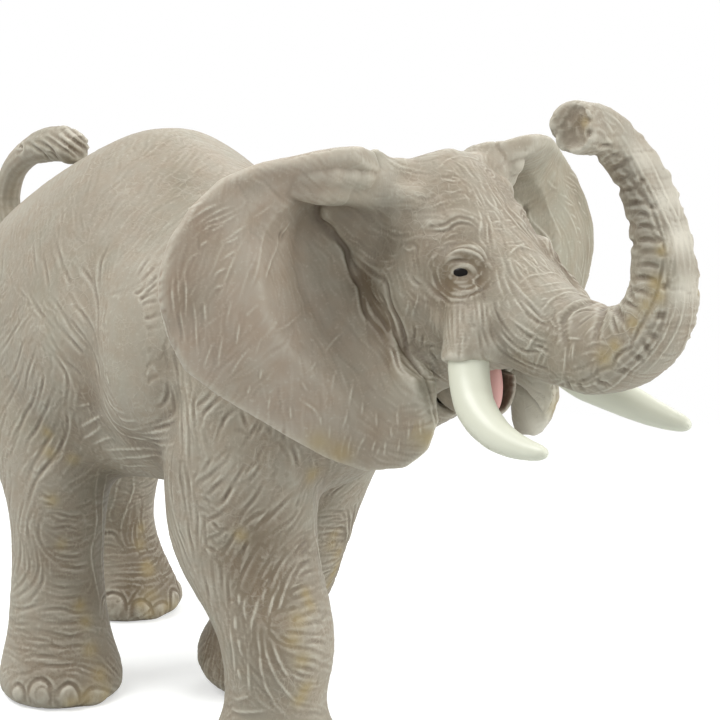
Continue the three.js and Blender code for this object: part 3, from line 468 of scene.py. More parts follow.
        (561, 200, 570, 215, 577, 235, 580, 255), (565, 190, 576, 212, 584, 240),
        (556, 215, 566, 235, 572, 258), (548, 200, 556, 222, 566, 250), (560, 262, 568, 272, 576, 284),
        (572, 258, 580, 272, 584, 288), (536, 412, 541, 425), (524, 395, 527, 420, 533, 432))),
    "trunk_long": (0.3, 0.34, (
        (611, 130, 617, 137, 624, 150, 631.5, 164, 638.5, 178.5, 646, 190, 653, 204, 658.5, 218.5, 663, 233,
         667, 247, 668.5, 261.5, 669, 276),
        (614, 128.5, 623, 137, 631.5, 153, 640, 170, 648.5, 184, 657, 201.5, 665.5, 218.5, 671.5, 233,
         675.5, 248.5, 677, 261.5, 676, 280),
        (631.5, 133, 643, 150, 653, 167, 660, 183, 668.5, 201.5, 677, 218.5, 683, 234, 688.5, 251.5,
         690, 268.5, 688.5, 283),
        (561, 390, 573, 392.5, 585.5, 394, 598, 392, 611.5, 387, 624, 376, 634.5, 365.5, 645.5, 356,
         651.5, 347, 661, 334.5, 665.5, 321, 668.5, 305.5, 669, 290),
        (614.5, 371.5, 625.5, 364, 636, 354.5, 645.5, 344, 653, 333, 659, 319, 662.5, 305.5, 663, 294),
        (628.5, 376, 642.5, 364, 653, 351.5, 662.5, 337.5, 668, 325.5, 674, 310, 676, 295),
        (640, 376, 652, 366, 664, 351, 674, 335, 681, 318, 684, 300, 685, 285),
        (570, 384, 583, 386, 596, 383, 606, 377), (600, 118, 607, 124, 613, 133),
        (595, 126, 603, 132, 609, 141, 617, 152), (577, 104, 586, 108, 593, 116),
        (606, 112, 618, 122, 628, 135))),
    "trunk_edge": (0.45, 0.42, (
        (599, 142, 608, 152, 617, 161, 625.5, 170, 633, 181.5, 638.5, 190, 645.5, 198.5, 651.5, 211.5,
         657, 224, 661, 234, 663.5, 247, 663, 258.5, 662, 270, 660, 281, 657, 294, 651, 307, 645, 318,
         638, 330, 633, 341, 631, 347, 622.5, 351.5, 616, 357.5, 613, 365.5, 606, 368, 599, 370.5, 593, 376,
         582.5, 381, 568.5, 382.5, 560.5, 385.5, 553, 388, 547, 385.5, 537.5, 383, 531.5, 383.5, 525.5, 378.5,
         516, 373, 505.5, 366),)),
    "trunk_ribs": (0.55, 0.55, (
        (603, 160.5, 612, 156, 622, 153), (609, 171, 618, 166, 628, 164), (615, 181, 625, 177, 634, 176),
        (621, 191, 631, 188, 640, 189), (626, 204, 636, 202, 646, 204), (632, 214, 642, 213, 652, 216),
        (634, 227, 645, 225, 656, 228), (637, 240, 648, 239, 660, 242), (638, 252, 650, 251, 662, 253),
        (636, 265, 648, 264, 661, 267), (632, 279, 645, 278, 659, 282), (626, 290, 640, 291, 655, 297),
        (617, 299, 628, 303, 643, 311), (607, 304, 615, 312, 628, 325), (598, 147, 607, 146, 614, 146))),
    "hip": (0.5, 0.42, (
        (50, 294, 57, 303, 64.5, 316, 71.5, 330, 80, 344, 87, 357, 93, 366),
        (58.5, 303, 67, 317, 74, 327, 83, 343, 91.5, 360, 97, 373, 100, 383),
        (58.5, 321.5, 64.5, 331.5, 70, 341.5, 77, 354, 84, 367, 91.5, 380, 97, 393),
        (74, 301.5, 80, 313, 87, 326, 93, 340, 97, 351.5),
        (91.5, 258, 91.5, 272, 93, 288, 96, 301.5, 97, 316, 97, 330, 98.5, 344),
        (50, 350, 57, 360, 63, 370, 66, 380, 67, 394, 67, 409),
        (57, 351.5, 64.5, 363, 71.5, 371.5, 80, 383, 88.5, 394, 94, 404),
        (30, 293, 37, 306, 47, 318.5, 56, 330), (33, 237, 33.5, 250, 34.5, 262, 38, 278),
        (57, 237, 58, 248.5, 61.5, 261.5, 64.5, 276), (43, 254, 47, 273, 49.5, 289),
        (60, 260, 67, 274, 71.5, 287), (80, 266, 88.5, 278.5, 93, 289),
        (110, 243, 106, 250, 100, 261.5, 98.5, 274, 98.5, 289),
        (27, 313, 21.5, 323, 14, 333, 7, 343, 0, 351.5),
        (33, 331.5, 26, 343, 21.5, 356, 16, 368.5, 8.5, 380, 3, 386),
        (28.5, 360, 23, 374, 16, 388.5, 8.5, 401.5, 3, 413), (7, 408.5, 3, 421.5, 0, 431),
        (24, 421.5, 17, 437, 11.5, 451.5, 8, 465), (40, 345, 36, 358, 31, 372, 27, 388, 20, 400))),
    "hip_deep": (0.55, 0.7, (
        (93, 360, 96, 368.5, 98.5, 380), (103, 388.5, 108.5, 398.5, 114, 407),
        (41.5, 380, 38.5, 391.5, 33, 403, 26, 413, 20, 426, 14, 437, 10, 450),
        (57, 383, 54, 394, 48.5, 406, 43, 416, 36, 430, 28.5, 440, 24, 455),
        (64.5, 398.5, 61.5, 408.5, 58.5, 420, 53, 431.5, 46, 443, 41.5, 451.5, 33, 466, 28, 482),
        (67, 408.5, 68.5, 423, 66, 434, 60, 447, 53, 458.5, 43, 470, 36, 480, 30, 495, 26, 512),
        (48, 372, 45, 385, 40, 400, 33, 414))),
    "belly": (0.5, 0.44, (
        (100, 396, 106, 408.5, 114, 421.5, 124, 427, 134, 428.5, 143, 426, 150, 420),
        (107, 394, 114, 403, 123, 408.5, 131.5, 410),
        (100, 411.5, 108.5, 421.5, 117, 433, 126, 438.5, 137, 440, 150, 441.5, 164, 443),
        (133, 431.5, 143, 433, 154, 431.5, 168.5, 430), (140, 437, 154, 438.5, 170, 437),
        (143, 443, 157, 444.5, 170, 446), (103, 448.5, 121.5, 450, 143, 450, 168.5, 454),
        (108.5, 456, 128.5, 457, 150, 456, 168.5, 460), (80, 427, 88.5, 423, 98.5, 418.5),
        (81.5, 438.5, 91.5, 434, 100, 427), (73, 407, 86, 407, 96, 406), (118, 463, 135, 465, 155, 465),
        (90, 445, 105, 440, 117, 443), (110, 372, 118, 385, 128, 393), (120, 415, 130, 418, 141, 417))),
    "flank": (0.48, 0.55, (
        (130, 299, 138.5, 297, 146, 291.5, 150, 284),
        (126, 308.5, 137, 306, 148.5, 298.5, 157, 293, 163, 287),
        (128.5, 313.5, 140, 311.5, 150, 304, 158.5, 301.5, 164, 296),
        (120, 330, 130, 328.5, 140, 324, 148.5, 320, 157, 317, 163, 310),
        (124, 334, 136, 333, 148.5, 330, 158.5, 327, 163, 321.5), (118.5, 341.5, 131.5, 340, 143, 337),
        (126, 361.5, 137, 360, 148.5, 354, 157, 347), (131.5, 378.5, 140, 377, 148.5, 370, 156, 360),
        (136, 391.5, 146, 386, 153, 378.5, 161.5, 374), (157, 406, 163, 404, 167, 393, 167, 380),
        (150, 424, 160, 421.5, 168.5, 416, 174, 408.5), (151.5, 428.5, 164, 426, 174, 421.5),
        (150, 260, 144, 270, 140, 278.5), (158.5, 264, 151.5, 274, 144, 283),
        (163, 268.5, 157, 280, 149, 290), (161.5, 281.5, 154, 290, 146, 300))),
    "shoulder": (0.48, 0.46, (
        (174, 341.5, 173.5, 354, 175, 367, 178, 380),
        (184, 388, 186, 402, 187, 417, 188.5, 434, 189, 451.5, 190, 465),
        (196, 391.5, 193, 403, 194, 417, 197, 430), (213, 388.5, 207, 397, 200, 403, 193, 408.5),
        (227, 393, 218.5, 398.5, 210, 406, 203, 414, 200, 426),
        (240, 408.5, 231.5, 411.5, 224, 418.5, 220, 426, 216, 436, 214, 444),
        (204, 433, 206, 443, 208.5, 450), (241.5, 411.5, 244, 420, 247, 428.5),
        (260, 418.5, 257, 424, 251.5, 433, 247, 440), (263, 420, 260, 428.5, 256, 436),
        (169, 385, 171, 400, 172, 415), (179, 400, 180, 420, 180, 440), (270, 422, 270, 435),
        (283, 428, 284, 440), (290, 445, 295, 455, 298, 468))),
    "arm": (0.46, 0.46, (
        (268, 511, 258.5, 514, 251, 518.5, 243, 526, 237, 535.5), (246, 541.5, 241.5, 551, 237, 560),
        (261.5, 460, 258.5, 469, 252.5, 477, 246, 484.5),
        (264.5, 478.5, 258.5, 491, 252.5, 500, 246, 507.5, 238.5, 518.5, 234, 527.5),
        (274, 506, 266, 517, 258.5, 524.5, 251, 534), (295.5, 491, 283, 503, 271, 515.5, 260, 527.5),
        (298.5, 509, 291, 520, 280, 527.5, 271, 535.5), (246, 463, 240, 472.5, 234, 481.5, 227.5, 487.5),
        (220, 464.5, 212.5, 472.5, 204.5, 478.5, 198.5, 486),
        (224.5, 478.5, 215.5, 486, 209, 492.5, 201.5, 497), (212.5, 457, 206, 466, 200, 474),
        (227.5, 504.5, 221.5, 512.5, 211, 518.5, 201.5, 523), (226, 527.5, 218.5, 534, 211, 537, 203, 541.5),
        (292.5, 547.5, 283, 558.5, 274, 572.5, 268, 586, 264.5, 595.5, 261, 608, 260.5, 622),
        (275.5, 546, 268, 561.5, 260, 577, 255.5, 592.5),
        (260, 543, 252.5, 554, 246, 566, 240, 580, 237, 594), (298.5, 560, 289, 572.5, 283, 584.5, 280, 597),
        (308, 560, 298.5, 569, 291, 580), (203, 497, 211, 503), (198, 506, 206, 512), (212, 522, 219, 530),
        (207, 547, 217, 551), (300, 497, 296, 508))),
    "arm_deep": (0.45, 0.7, (
        (232.5, 483, 229, 491, 224.5, 498.5, 220, 504.5), (238, 529, 231, 540, 226, 549, 221.5, 557),
        (311, 540, 301.5, 547.5, 294, 555.5), (249, 540, 244, 548, 241, 555))),
    "arm_back": (0.44, 0.42, (
        (180, 460, 180, 478.5, 183, 494, 185.5, 511, 183, 523),
        (197, 503, 197.5, 518.5, 197, 534, 197.5, 549),
        (172.5, 518.5, 178.5, 535.5, 184.5, 552.5, 191, 567.5, 197, 580),
        (189, 515.5, 189, 534, 192.5, 549, 194, 564.5), (204.5, 509, 204.5, 526, 206, 541.5, 204.5, 557),
        (211, 557, 212.5, 572.5, 214, 587.5, 215.5, 600), (187, 468, 189, 484, 192, 500),
        (172, 470, 171, 488, 173, 505), (229, 572.5, 227.5, 583, 228.5, 597, 229, 610),
        (220, 560, 221, 575, 222, 590), (204, 570, 207, 588, 212, 605), (179, 530, 186, 545))),
    "forearm": (0.42, 0.46, (
        (258.5, 597, 255.5, 609, 252.5, 620, 251, 631), (271, 581.5, 264.5, 594, 262, 608),
        (289, 580, 284.5, 591, 281.5, 600, 278, 612), (280, 584.5, 274, 595.5, 271, 606, 269, 618),
        (260, 621.5, 258.5, 635.5, 260, 651, 261.5, 669, 266, 686, 274, 701.5, 283, 712.5, 291, 720),
        (264, 632, 266, 651, 271, 666, 277, 678.5, 286, 691, 295.5, 701.5, 304.5, 711),
        (238.5, 637, 240, 647.5, 243, 657), (244.5, 598.5, 244.5, 612.5, 249, 624.5), (238.5, 594, 240, 606),
        (235, 615, 236, 630), (231, 706, 237, 711, 252.5, 711.5, 268, 710), (248, 660, 249, 680, 250, 695),
        (238, 668, 241, 680), (272, 640, 277, 655, 283, 668, 291, 681),
        (228, 615, 231, 635, 234, 655, 235, 675))),
    "knee": (0.42, 0.5, (
        (291, 598.5, 298.5, 597, 307.5, 593, 315.5, 592.5), (287.5, 594, 298.5, 587.5, 309, 584.5),
        (292.5, 620, 298.5, 617, 306, 614, 314, 611, 322, 610),
        (283, 632.5, 291, 632.5, 301.5, 633, 311, 634, 322, 633),
        (280, 641.5, 287.5, 646, 298.5, 647.5, 309, 649, 321.5, 652.5, 330, 653),
        (280, 635.5, 289, 641.5, 297, 641.5), (287.5, 654, 298.5, 658.5, 311, 660, 320, 663, 328, 664),
        (292.5, 671, 301.5, 675.5, 314, 677), (292.5, 666, 303, 667.5, 314, 671),
        (295.5, 686, 303, 691, 311, 691), (295.5, 569, 303, 563, 312.5, 560),
        (297, 578.5, 306, 572.5, 315.5, 569), (300, 605, 309, 602, 318, 601), (288, 610, 296, 607),
        (300, 625, 311, 623, 323, 622), (304, 641, 316, 641, 328, 642), (290, 700, 300, 705, 312, 706))),
    "rear_knee": (0.44, 0.42, (
        (43.5, 523.5, 52.5, 529, 67.5, 527.5, 83.5, 531), (45.5, 532.5, 60, 540, 72.5, 543.5, 87.5, 538),
        (49, 551, 62, 556.5, 78, 556.5, 89, 549), (40, 516.5, 38, 531, 42, 547.5, 51, 558),
        (42, 514, 55, 513, 70, 517, 86, 516), (52, 547, 66, 549, 80, 547), (60, 567, 75, 568, 90, 565),
        (23.5, 538, 27.5, 552.5, 29, 567.5, 23.5, 580, 16.5, 587.5, 7.5, 594.5),
        (32.5, 534.5, 36.5, 552.5, 38, 571, 31, 585.5, 20, 594.5, 9, 600),
        (18, 527.5, 20, 542, 20, 558, 16.5, 574.5), (11, 516.5, 12.5, 534.5, 12.5, 552.5),
        (42, 567.5, 42, 582, 32.5, 596.5, 22, 602), (24, 500, 20, 515, 18, 530), (12, 478, 10, 495, 9, 512),
        (40, 490, 48, 497, 57, 494), (44, 503, 54, 505), (30, 512, 27, 528, 30, 545))),
    "ankle": (0.42, 0.4, (
        (34.5, 616.5, 45.5, 622, 60, 623.5, 72.5, 622, 88, 624), (14.5, 632.5, 27.5, 638, 42, 640, 54.5, 642),
        (32.5, 629, 51, 632.5, 69, 636.5, 85.5, 632.5, 98, 634),
        (36.5, 611, 51, 609, 63.5, 609, 76.5, 612.5, 90, 611),
        (36.5, 645.5, 51, 645.5, 63.5, 647.5, 78, 645.5, 95, 647), (34.5, 656.5, 49, 656.5, 62, 658),
        (9, 605.5, 22, 609, 36.5, 605.5, 47.5, 602), (51, 585.5, 63.5, 587.5, 76.5, 585.5),
        (36.5, 663.5, 49, 665.5, 63.5, 665.5, 82, 662), (50, 596, 64, 598, 80, 596),
        (6, 620, 18, 624, 30, 623), (8, 645, 20, 650, 32, 650), (104, 660, 113, 667.5, 120, 676.5),
        (90, 671, 103, 673, 113, 681), (62, 671, 75, 670, 88, 674))),
    "toes": (0.5, 0.6, (
        (27.5, 696, 31, 684, 40, 678.5, 49, 684, 51, 696),
        (58, 697, 60, 689, 67.5, 683.5, 74.5, 685.5, 79, 693, 80, 702),
        (80, 699, 89, 689.5, 98, 687.5, 109, 691, 116.5, 695, 119, 701),
        (102, 610, 103.5, 598, 112.5, 592.5, 123.5, 598, 127.5, 612),
        (131, 609, 134.5, 602, 143.5, 600, 151, 607.5, 153, 616), (12, 690, 17, 684, 23, 688, 25, 698),
        (228, 780, 226, 769, 228, 757, 238, 752, 243, 762, 246, 776, 248, 786),
        (253, 787, 250, 777, 253, 764, 264, 756, 273, 765, 276, 779, 277, 789),
        (281, 789, 278, 779, 284, 764, 292, 755, 301, 762, 305, 775, 305, 785),
        (308, 785, 308, 774, 314, 759, 318, 749, 325, 755, 330, 767, 326, 778))),
    "far_legs": (0.42, 0.34, (
        (103.5, 552.5, 123.5, 552.5, 142, 549, 154.5, 547.5), (105.5, 567.5, 127.5, 565.5, 151, 563.5),
        (103.5, 574.5, 127.5, 574.5, 154.5, 574.5), (104, 583, 125, 581, 145, 583),
        (136.5, 516.5, 134.5, 534.5, 138, 549), (318.5, 512.5, 334, 511, 349, 511),
        (318.5, 518, 334, 516, 349, 516.5), (318, 524, 334, 522, 348, 523), (318, 530, 333, 528.5, 347, 529),
        (318, 536, 333, 534, 346, 535.5), (318.5, 543, 333, 541, 345, 542),
        (334, 486, 329, 494, 321.5, 501.5), (355.5, 475.5, 344.5, 484.5, 332.5, 494, 324.5, 503),
        (349, 472.5, 340, 481.5, 331, 491), (322, 556, 333, 554, 343, 556), (325, 568, 333, 567, 341, 569),
        (360, 482, 350, 491, 340, 499), (143, 500, 141, 520, 145, 540))),
}

# Broad swells and hollows: across, down, radius and height in millimetres, and the flatness of the
# middle where it isn't 1.
BRUSHES = (
    (385, 237, 5, -0.9), (345, 215, 3.2, -0.5), (455, 305, 2.5, 0.25), (468, 330, 3.2, 0.5, 1.5),
    (468, 240, 1.9, -0.3), (452, 243, 2, -0.25), (488, 262, 1.6, -0.4), (442, 285, 2.4, -0.35),
    (430, 222, 1.1, 0.3), (441, 221, 1.2, 0.35), (452, 216, 1.3, 0.4), (463, 214, 1.3, 0.4),
    (474, 218, 1.2, 0.35), (482, 227, 1.1, 0.3), (450, 258, 1, 0.25), (458, 250, 1.2, 0.25),
    (466, 246, 1.4, 0.32), (475, 249, 1.3, 0.32), (483, 257, 1.1, 0.28), (489, 265, 0.9, 0.3),
    (456, 262, 1, -0.25), (465, 258, 1, -0.35), (474, 260, 1, -0.35), (482, 268, 0.9, -0.3),
    (452, 357, 1, 0.3), (462, 359, 1, 0.35), (473, 360, 1, 0.35), (483, 361, 1, 0.3), (452, 294, 1.6, 0.12),
    (468, 292, 1.6, 0.12), (520, 270, 3, 0.25), (404, 300, 3, 0.4), (425, 330, 3.5, -0.6), (75, 365, 5, -0.9),
    (90, 412, 4.5, -1.2), (86, 385, 5, -0.9), (87, 345, 4.5, -0.8), (90, 310, 4.5, -0.6),
    (92, 275, 4.5, -0.5), (132, 285, 8, 0.6, 1.5), (134, 325, 8.5, 0.9, 1.5), (134, 365, 8.5, 1, 1.5),
    (135, 402, 7.5, 1, 1.5), (168, 330, 3.2, -0.6), (170, 365, 3.2, -0.7), (171, 400, 3.2, -0.8),
    (170, 430, 3.5, -0.7), (130, 441, 3.6, -0.8), (108, 437, 3.4, -0.7), (150, 441, 3.4, -0.6),
    (118, 457, 3, 0.5), (145, 458, 3, 0.5), (42, 385, 9, 0.7), (30, 335, 8, 0.5), (58, 470, 6, 0.5),
    (66, 540, 5, -0.5, 1.5), (40, 694, 2.1, 0.5, 2), (68, 696, 2.1, 0.5, 2), (98, 698, 2.6, 0.5, 2),
    (113, 606, 2.2, 0.5, 2), (142, 611, 1.8, 0.5, 2), (17, 694, 1.4, 0.35, 2), (237, 771, 2, 0.45, 2),
    (263, 775, 2.2, 0.5, 2), (292, 774, 2.3, 0.5, 2), (318, 769, 1.9, 0.45, 2), (306, 545, 2.6, -0.7),
    (312, 630, 3.5, 0.5), (232, 425, 5, -0.5), (155, 455, 4, -0.4), (300, 300, 7, 0.5), (335, 225, 3, -0.6),
    (320, 182, 5, 0.35), (380, 190, 4.5, 0.45), (553, 205, 4, -0.8), (524, 211, 1, -0.5), (560, 297, 2, -0.4),
)

# Touches of ochre in the recesses: across, down and radius in millimetres.
OCHRE = (
    (646, 306, 1.3), (633, 323, 1.3), (604, 358, 1.5), (659, 297, 1), (655, 283, 1.3), (661, 250, 0.9),
    (615, 346, 1.1), (298, 620, 1.6), (293, 640, 1.5), (310, 605, 1.3), (306, 593, 1.2), (302, 660, 1.6),
    (306, 688, 1.5), (300, 700, 1.4), (86, 698, 2), (105, 694, 1.8), (70, 702, 1.4), (80, 606, 1.4),
    (86, 622, 1.6), (90, 650, 1.8), (100, 675, 2), (48, 432, 1.4), (50, 452, 1.3), (73, 458, 1.4),
    (52, 500, 1.4), (62, 545, 1.3), (340, 453, 2), (318, 442, 2), (428, 438, 2), (333, 574, 1.4),
    (312, 475, 1.6), (148, 566, 1.5), (140, 604, 1.3), (240, 535, 1.2), (583, 122, 0.9),
)

# Painted shade in broad areas, partly the makers' brown airbrush, and painted light where the strength
# is below nought: across, down, radius in millimetres and strength.
STAINS = (
    (462, 262, 3, 0.4), (443, 285, 2.6, 0.35), (470, 292, 2, 0.25), (428, 258, 2.4, 0.2),
    (485, 262, 1.6, 0.3), (330, 222, 3.2, 0.4), (350, 235, 3.6, 0.35), (385, 238, 4, 0.3),
    (412, 242, 2.6, 0.2), (368, 258, 2.6, 0.35), (358, 280, 2, 0.7), (372, 300, 3, 0.65),
    (384, 328, 2.8, 0.6), (398, 352, 2.4, 0.55), (410, 300, 3, 0.2), (60, 560, 6, 0.45), (78, 520, 5, 0.45),
    (88, 600, 5, 0.4), (70, 640, 5, 0.25), (30, 560, 5, 0.2), (130, 520, 6, 0.5), (140, 590, 5, 0.35),
    (150, 458, 5, 0.35), (120, 440, 5, 0.25), (110, 474, 4, 0.4), (240, 520, 6, 0.3), (220, 565, 5, 0.3),
    (290, 560, 5, 0.35), (280, 640, 6, 0.35), (300, 600, 5, 0.3), (250, 660, 6, 0.2), (40, 680, 5, 0.3),
    (82, 690, 5, 0.35), (112, 680, 4, 0.3), (70, 440, 6, 0.35), (40, 440, 6, 0.25), (92, 385, 4.5, 0.3),
    (200, 400, 4, 0.2), (260, 440, 6, 0.25), (320, 470, 5, 0.3), (185, 300, 3, 0.25), (200, 230, 4, 0.25),
    (182, 260, 3, 0.25), (400, 440, 4, 0.3), (350, 450, 4, 0.25), (560, 345, 4, 0.25), (590, 355, 4, 0.3),
    (525, 368, 3, 0.3), (632, 200, 2.2, 0.6), (644, 235, 2.4, 0.65), (650, 275, 2.4, 0.6),
    (610, 165, 2.2, 0.55), (622, 182, 2.2, 0.55), (574, 127, 3.4, 0.9), (470, 356, 1.5, 0.4),
    (235, 340, 5, 0.15), (80, 400, 5.5, 0.5), (76, 428, 5, 0.5), (86, 350, 5, 0.3), (169, 400, 3, 0.3),
    (130, 440, 4, 0.25), (440, 185, 5, 0.3), (450, 205, 4, 0.3), (435, 262, 4, 0.45), (455, 300, 3.5, 0.4),
    (468, 235, 3, 0.4), (467, 272, 2.8, 0.6), (462, 284, 2.4, 0.3), (440, 300, 3, 0.4), (478, 280, 3, 0.4),
    (500, 250, 4, 0.15), (560, 320, 5, 0.3), (620, 330, 3, 0.3), (140, 110, 8, 0.2), (175, 115, 8, 0.4),
    (165, 200, 9, 0.12), (60, 250, 9, 0.25), (30, 270, 8, 0.2), (20, 640, 6, 0.4), (60, 670, 6, 0.4),
    (100, 660, 5, 0.35), (260, 600, 6, 0.35), (250, 560, 6, 0.35), (300, 680, 6, 0.25), (265, 520, 5, 0.4),
    (285, 530, 5, 0.3), (262, 640, 5, 0.3), (280, 590, 4, 0.3), (235, 600, 4, 0.2), (228, 470, 4, -0.15),
    (320, 700, 4, -0.1), (170, 590, 5, 0.7), (165, 560, 5, 0.6), (178, 470, 5, 0.4), (165, 500, 5, 0.5),
    (372, 300, 2.5, 0.4), (384, 328, 2.5, 0.4), (362, 285, 2, 0.4), (395, 350, 2.5, 0.4), (180, 230, 5, 0.2),
    (175, 280, 5, 0.2), (180, 180, 4, 0.15), (575, 140, 5, -0.1), (585, 250, 5, 0.15), (575, 180, 5, 0.15),
    (150, 545, 6, 0.4), (150, 600, 6, 0.5), (130, 610, 5, 0.4), (128, 560, 5, 0.3), (100, 215, 8, 0.15),
    (543, 405, 4.5, -0.7), (548, 425, 4, -0.7), (535, 430, 4, -0.6), (380, 200, 5, -0.12),
    (345, 190, 5, -0.12), (640, 160, 2.5, -0.4), (662, 200, 2.5, -0.4), (675, 240, 2.5, -0.4),
    (680, 290, 2.5, -0.3), (212, 668, 6, 1), (212, 640, 5, 0.8), (205, 690, 6, 0.8), (20, 300, 6, 0.25),
    (30, 360, 6, 0.2), (540, 200, 3, 0.3),
)

# Raised lines: the moulding's parting lines down the legs, the lids, and the lips of the folds.
RIDGES = {
    "parting": (0.3, 0.42, (
        (100, 463.5, 96.5, 482, 95.5, 500, 96.5, 518, 94.5, 536.5, 91, 554.5, 94, 575, 99, 600, 100, 622),
        (109, 469, 104.5, 485.5, 102.5, 503.5, 102, 522, 102, 540, 101, 558, 102.5, 578, 102, 592),
        (313, 505, 314, 518.5, 314.5, 531, 317, 544.5, 320, 563, 324.5, 580, 329, 592, 332, 601))),
    "lids": (0.3, 0.15, (
        (449, 276, 453, 270, 459, 266.5, 466, 266.5, 472, 270, 475, 276),
        (452, 278.5, 457, 282, 465, 282.5, 471, 279))),
    "flange": (0.55, 0.42, (
        (597, 145, 606, 152, 616, 165, 626, 178, 636, 192, 641, 203, 650, 212, 655, 225, 660, 238, 662, 252,
         663, 268, 662, 285, 660, 300, 655, 314, 646, 330, 632, 345, 618, 357),)),
    "lips": (0.42, 0.26, (
        (451, 224.5, 458, 221.5, 464, 221.5, 472, 223, 479, 228.5, 484, 235, 488, 243),
        (434, 229, 443, 229, 450, 226), (443, 259, 450, 253, 461, 250.5, 472, 252.5, 482, 258, 487, 266),
        (452, 281, 460, 282.8, 470, 281.5), (448.5, 275, 452, 279.5), (61, 409, 58, 421, 51.5, 433, 44, 446),
        (70, 410, 71, 424, 68, 437, 62, 449, 54, 461), (231, 697, 239, 699, 248, 696, 254, 691))),
}

# Sculpting: every stroke is laid on both skins alike, so they stay one surface at the neck.
EYE_POINT = np.array(camera.location) * MM
ACROSS = np.array((HEADING_Y, HEADING_X, 0.0))
AHEAD = np.array(sight)
UPWARD = np.cross(ACROSS, AHEAD)
SHEET_DISTANCE, SHEET_MIDDLE = 1901.0, 360


def sight_line(across, down):
    """The way from the eye through a point of the sheet."""
    return AHEAD * SHEET_DISTANCE + ACROSS * (across - SHEET_MIDDLE) - UPWARD * (down - SHEET_MIDDLE)


def drawn(points, gap=1.2):
    """A smooth run of points on the sheet through the given ones."""
    given = np.array(points, float).reshape(-1, 2)
    padded = np.vstack([2 * given[0] - given[1], given, 2 * given[-1] - given[-2]])
    run = []
    for i in range(len(given) - 1):
        before, start, end, after = padded[i:i + 4]
        steps = max(2, int(np.linalg.norm(end - start) / gap))
        t = (np.arange(steps) / steps)[:, None]
        run.append(0.5 * (2 * start + (end - before) * t + (2 * before - 5 * start + 4 * end - after) * t**2
                          + (3 * start - before - 3 * end + after) * t**3))
    run.append(given[-1:])
    return np.vstack(run)


def on_skin(sheet_points, tree):
    """Where the sight lines through the sheet's points meet the skin."""
    found = []
    for across, down in sheet_points:
        place, way, _, _ = tree.ray_cast(Vector(EYE_POINT), Vector(sight_line(across, down)).normalized())
        found.append((*place, *way) if place else (np.nan,) * 6)
    return np.array(found)


def ends(count, share):
    """Fades a stroke in and out."""
    t = np.linspace(0, 1, count)
    return np.clip(np.minimum(t, 1 - t) / share, 0.03, 1) ** 0.8


def pressed(points, normals, samples, reach):
    """Strongest print of the samples on each point: samples are place, facing, half width, depth.
    The points are sorted into cells as wide as the reach, and each sample tries the cells round it."""
    batch, thickness, facing_least = 40000, 1.3, 0.1
    print_depth = np.zeros(len(points))
    low = points.min(0) - 2 * reach
    shape = ((points.max(0) - low) / reach).astype(int) + 4
    cells = ((points - low) / reach).astype(int)
    key = (cells[:, 0] * shape[1] + cells[:, 1]) * shape[2] + cells[:, 2]
    order = np.argsort(key, kind="stable")
    ranked = key[order]
    for begin in range(0, len(samples), batch):
        part = samples[begin:begin + batch]
        home = ((part[:, :3] - low) / reach).astype(int)
        for dx in (-1, 0, 1):
            for dy in (-1, 0, 1):
                base = ((home[:, 0] + dx) * shape[1] + home[:, 1] + dy) * shape[2] + home[:, 2]
                first = np.searchsorted(ranked, base - 1, "left")
                count = np.searchsorted(ranked, base + 1, "right") - first
                rows = np.repeat(np.arange(len(part)), count)
                place = np.arange(count.sum()) - np.repeat(np.cumsum(count) - count, count)
                at = order[place + np.repeat(first, count)]
                offset = points[at] - part[rows, :3]
                rise = (offset * part[rows, 3:6]).sum(1)
                facing = (normals[at] * part[rows, 3:6]).sum(1)
                flat = np.maximum((offset**2).sum(1) - rise**2, 0)
                near = (abs(rise) < thickness) & (facing > facing_least)
                at, flat, rows = at[near], flat[near], rows[near]
                mark = part[rows, 7] * np.exp(-flat / part[rows, 6] ** 2)
                np.maximum.at(print_depth, at, mark)
    return print_depth


def brushed(points, normals, brushes):
    """Broad soft swells and hollows: place, facing, radius, height and how flat the middle is."""
    height = np.zeros(len(points))
    for x, y, z, nx, ny, nz, radius, lift, flatness in brushes:
        near = np.nonzero((abs(points[:, 0] - x) < 2.5 * radius) & (abs(points[:, 2] - z) < 2.5 * radius))[0]
        offset = points[near] - (x, y, z)
        rise = offset @ (nx, ny, nz)
        mine = (normals[near] @ (nx, ny, nz) > 0.1) & (abs(rise) < max(radius, 2.2))
        flat = (offset**2).sum(1) - rise**2
        height[near[mine]] += lift * np.exp(-(np.maximum(flat[mine], 0) / radius**2) ** flatness)
    return height


# These tables' lines stand up as fine edges, and those on the body and legs lie shallow.
RAISED = {"cheek_net", "ear_scratch", "forehead", "forehead_fine", "cheek_fine", "brow_fine",
          "trunk_long", "far_ear", "forearm", "belly"}
CALM = {"brow", "tusk_flap", "hip", "flank", "shoulder", "arm", "arm_back", "knee", "rear_knee",
        "ankle", "hip_deep", "far_legs", "arm_deep"}


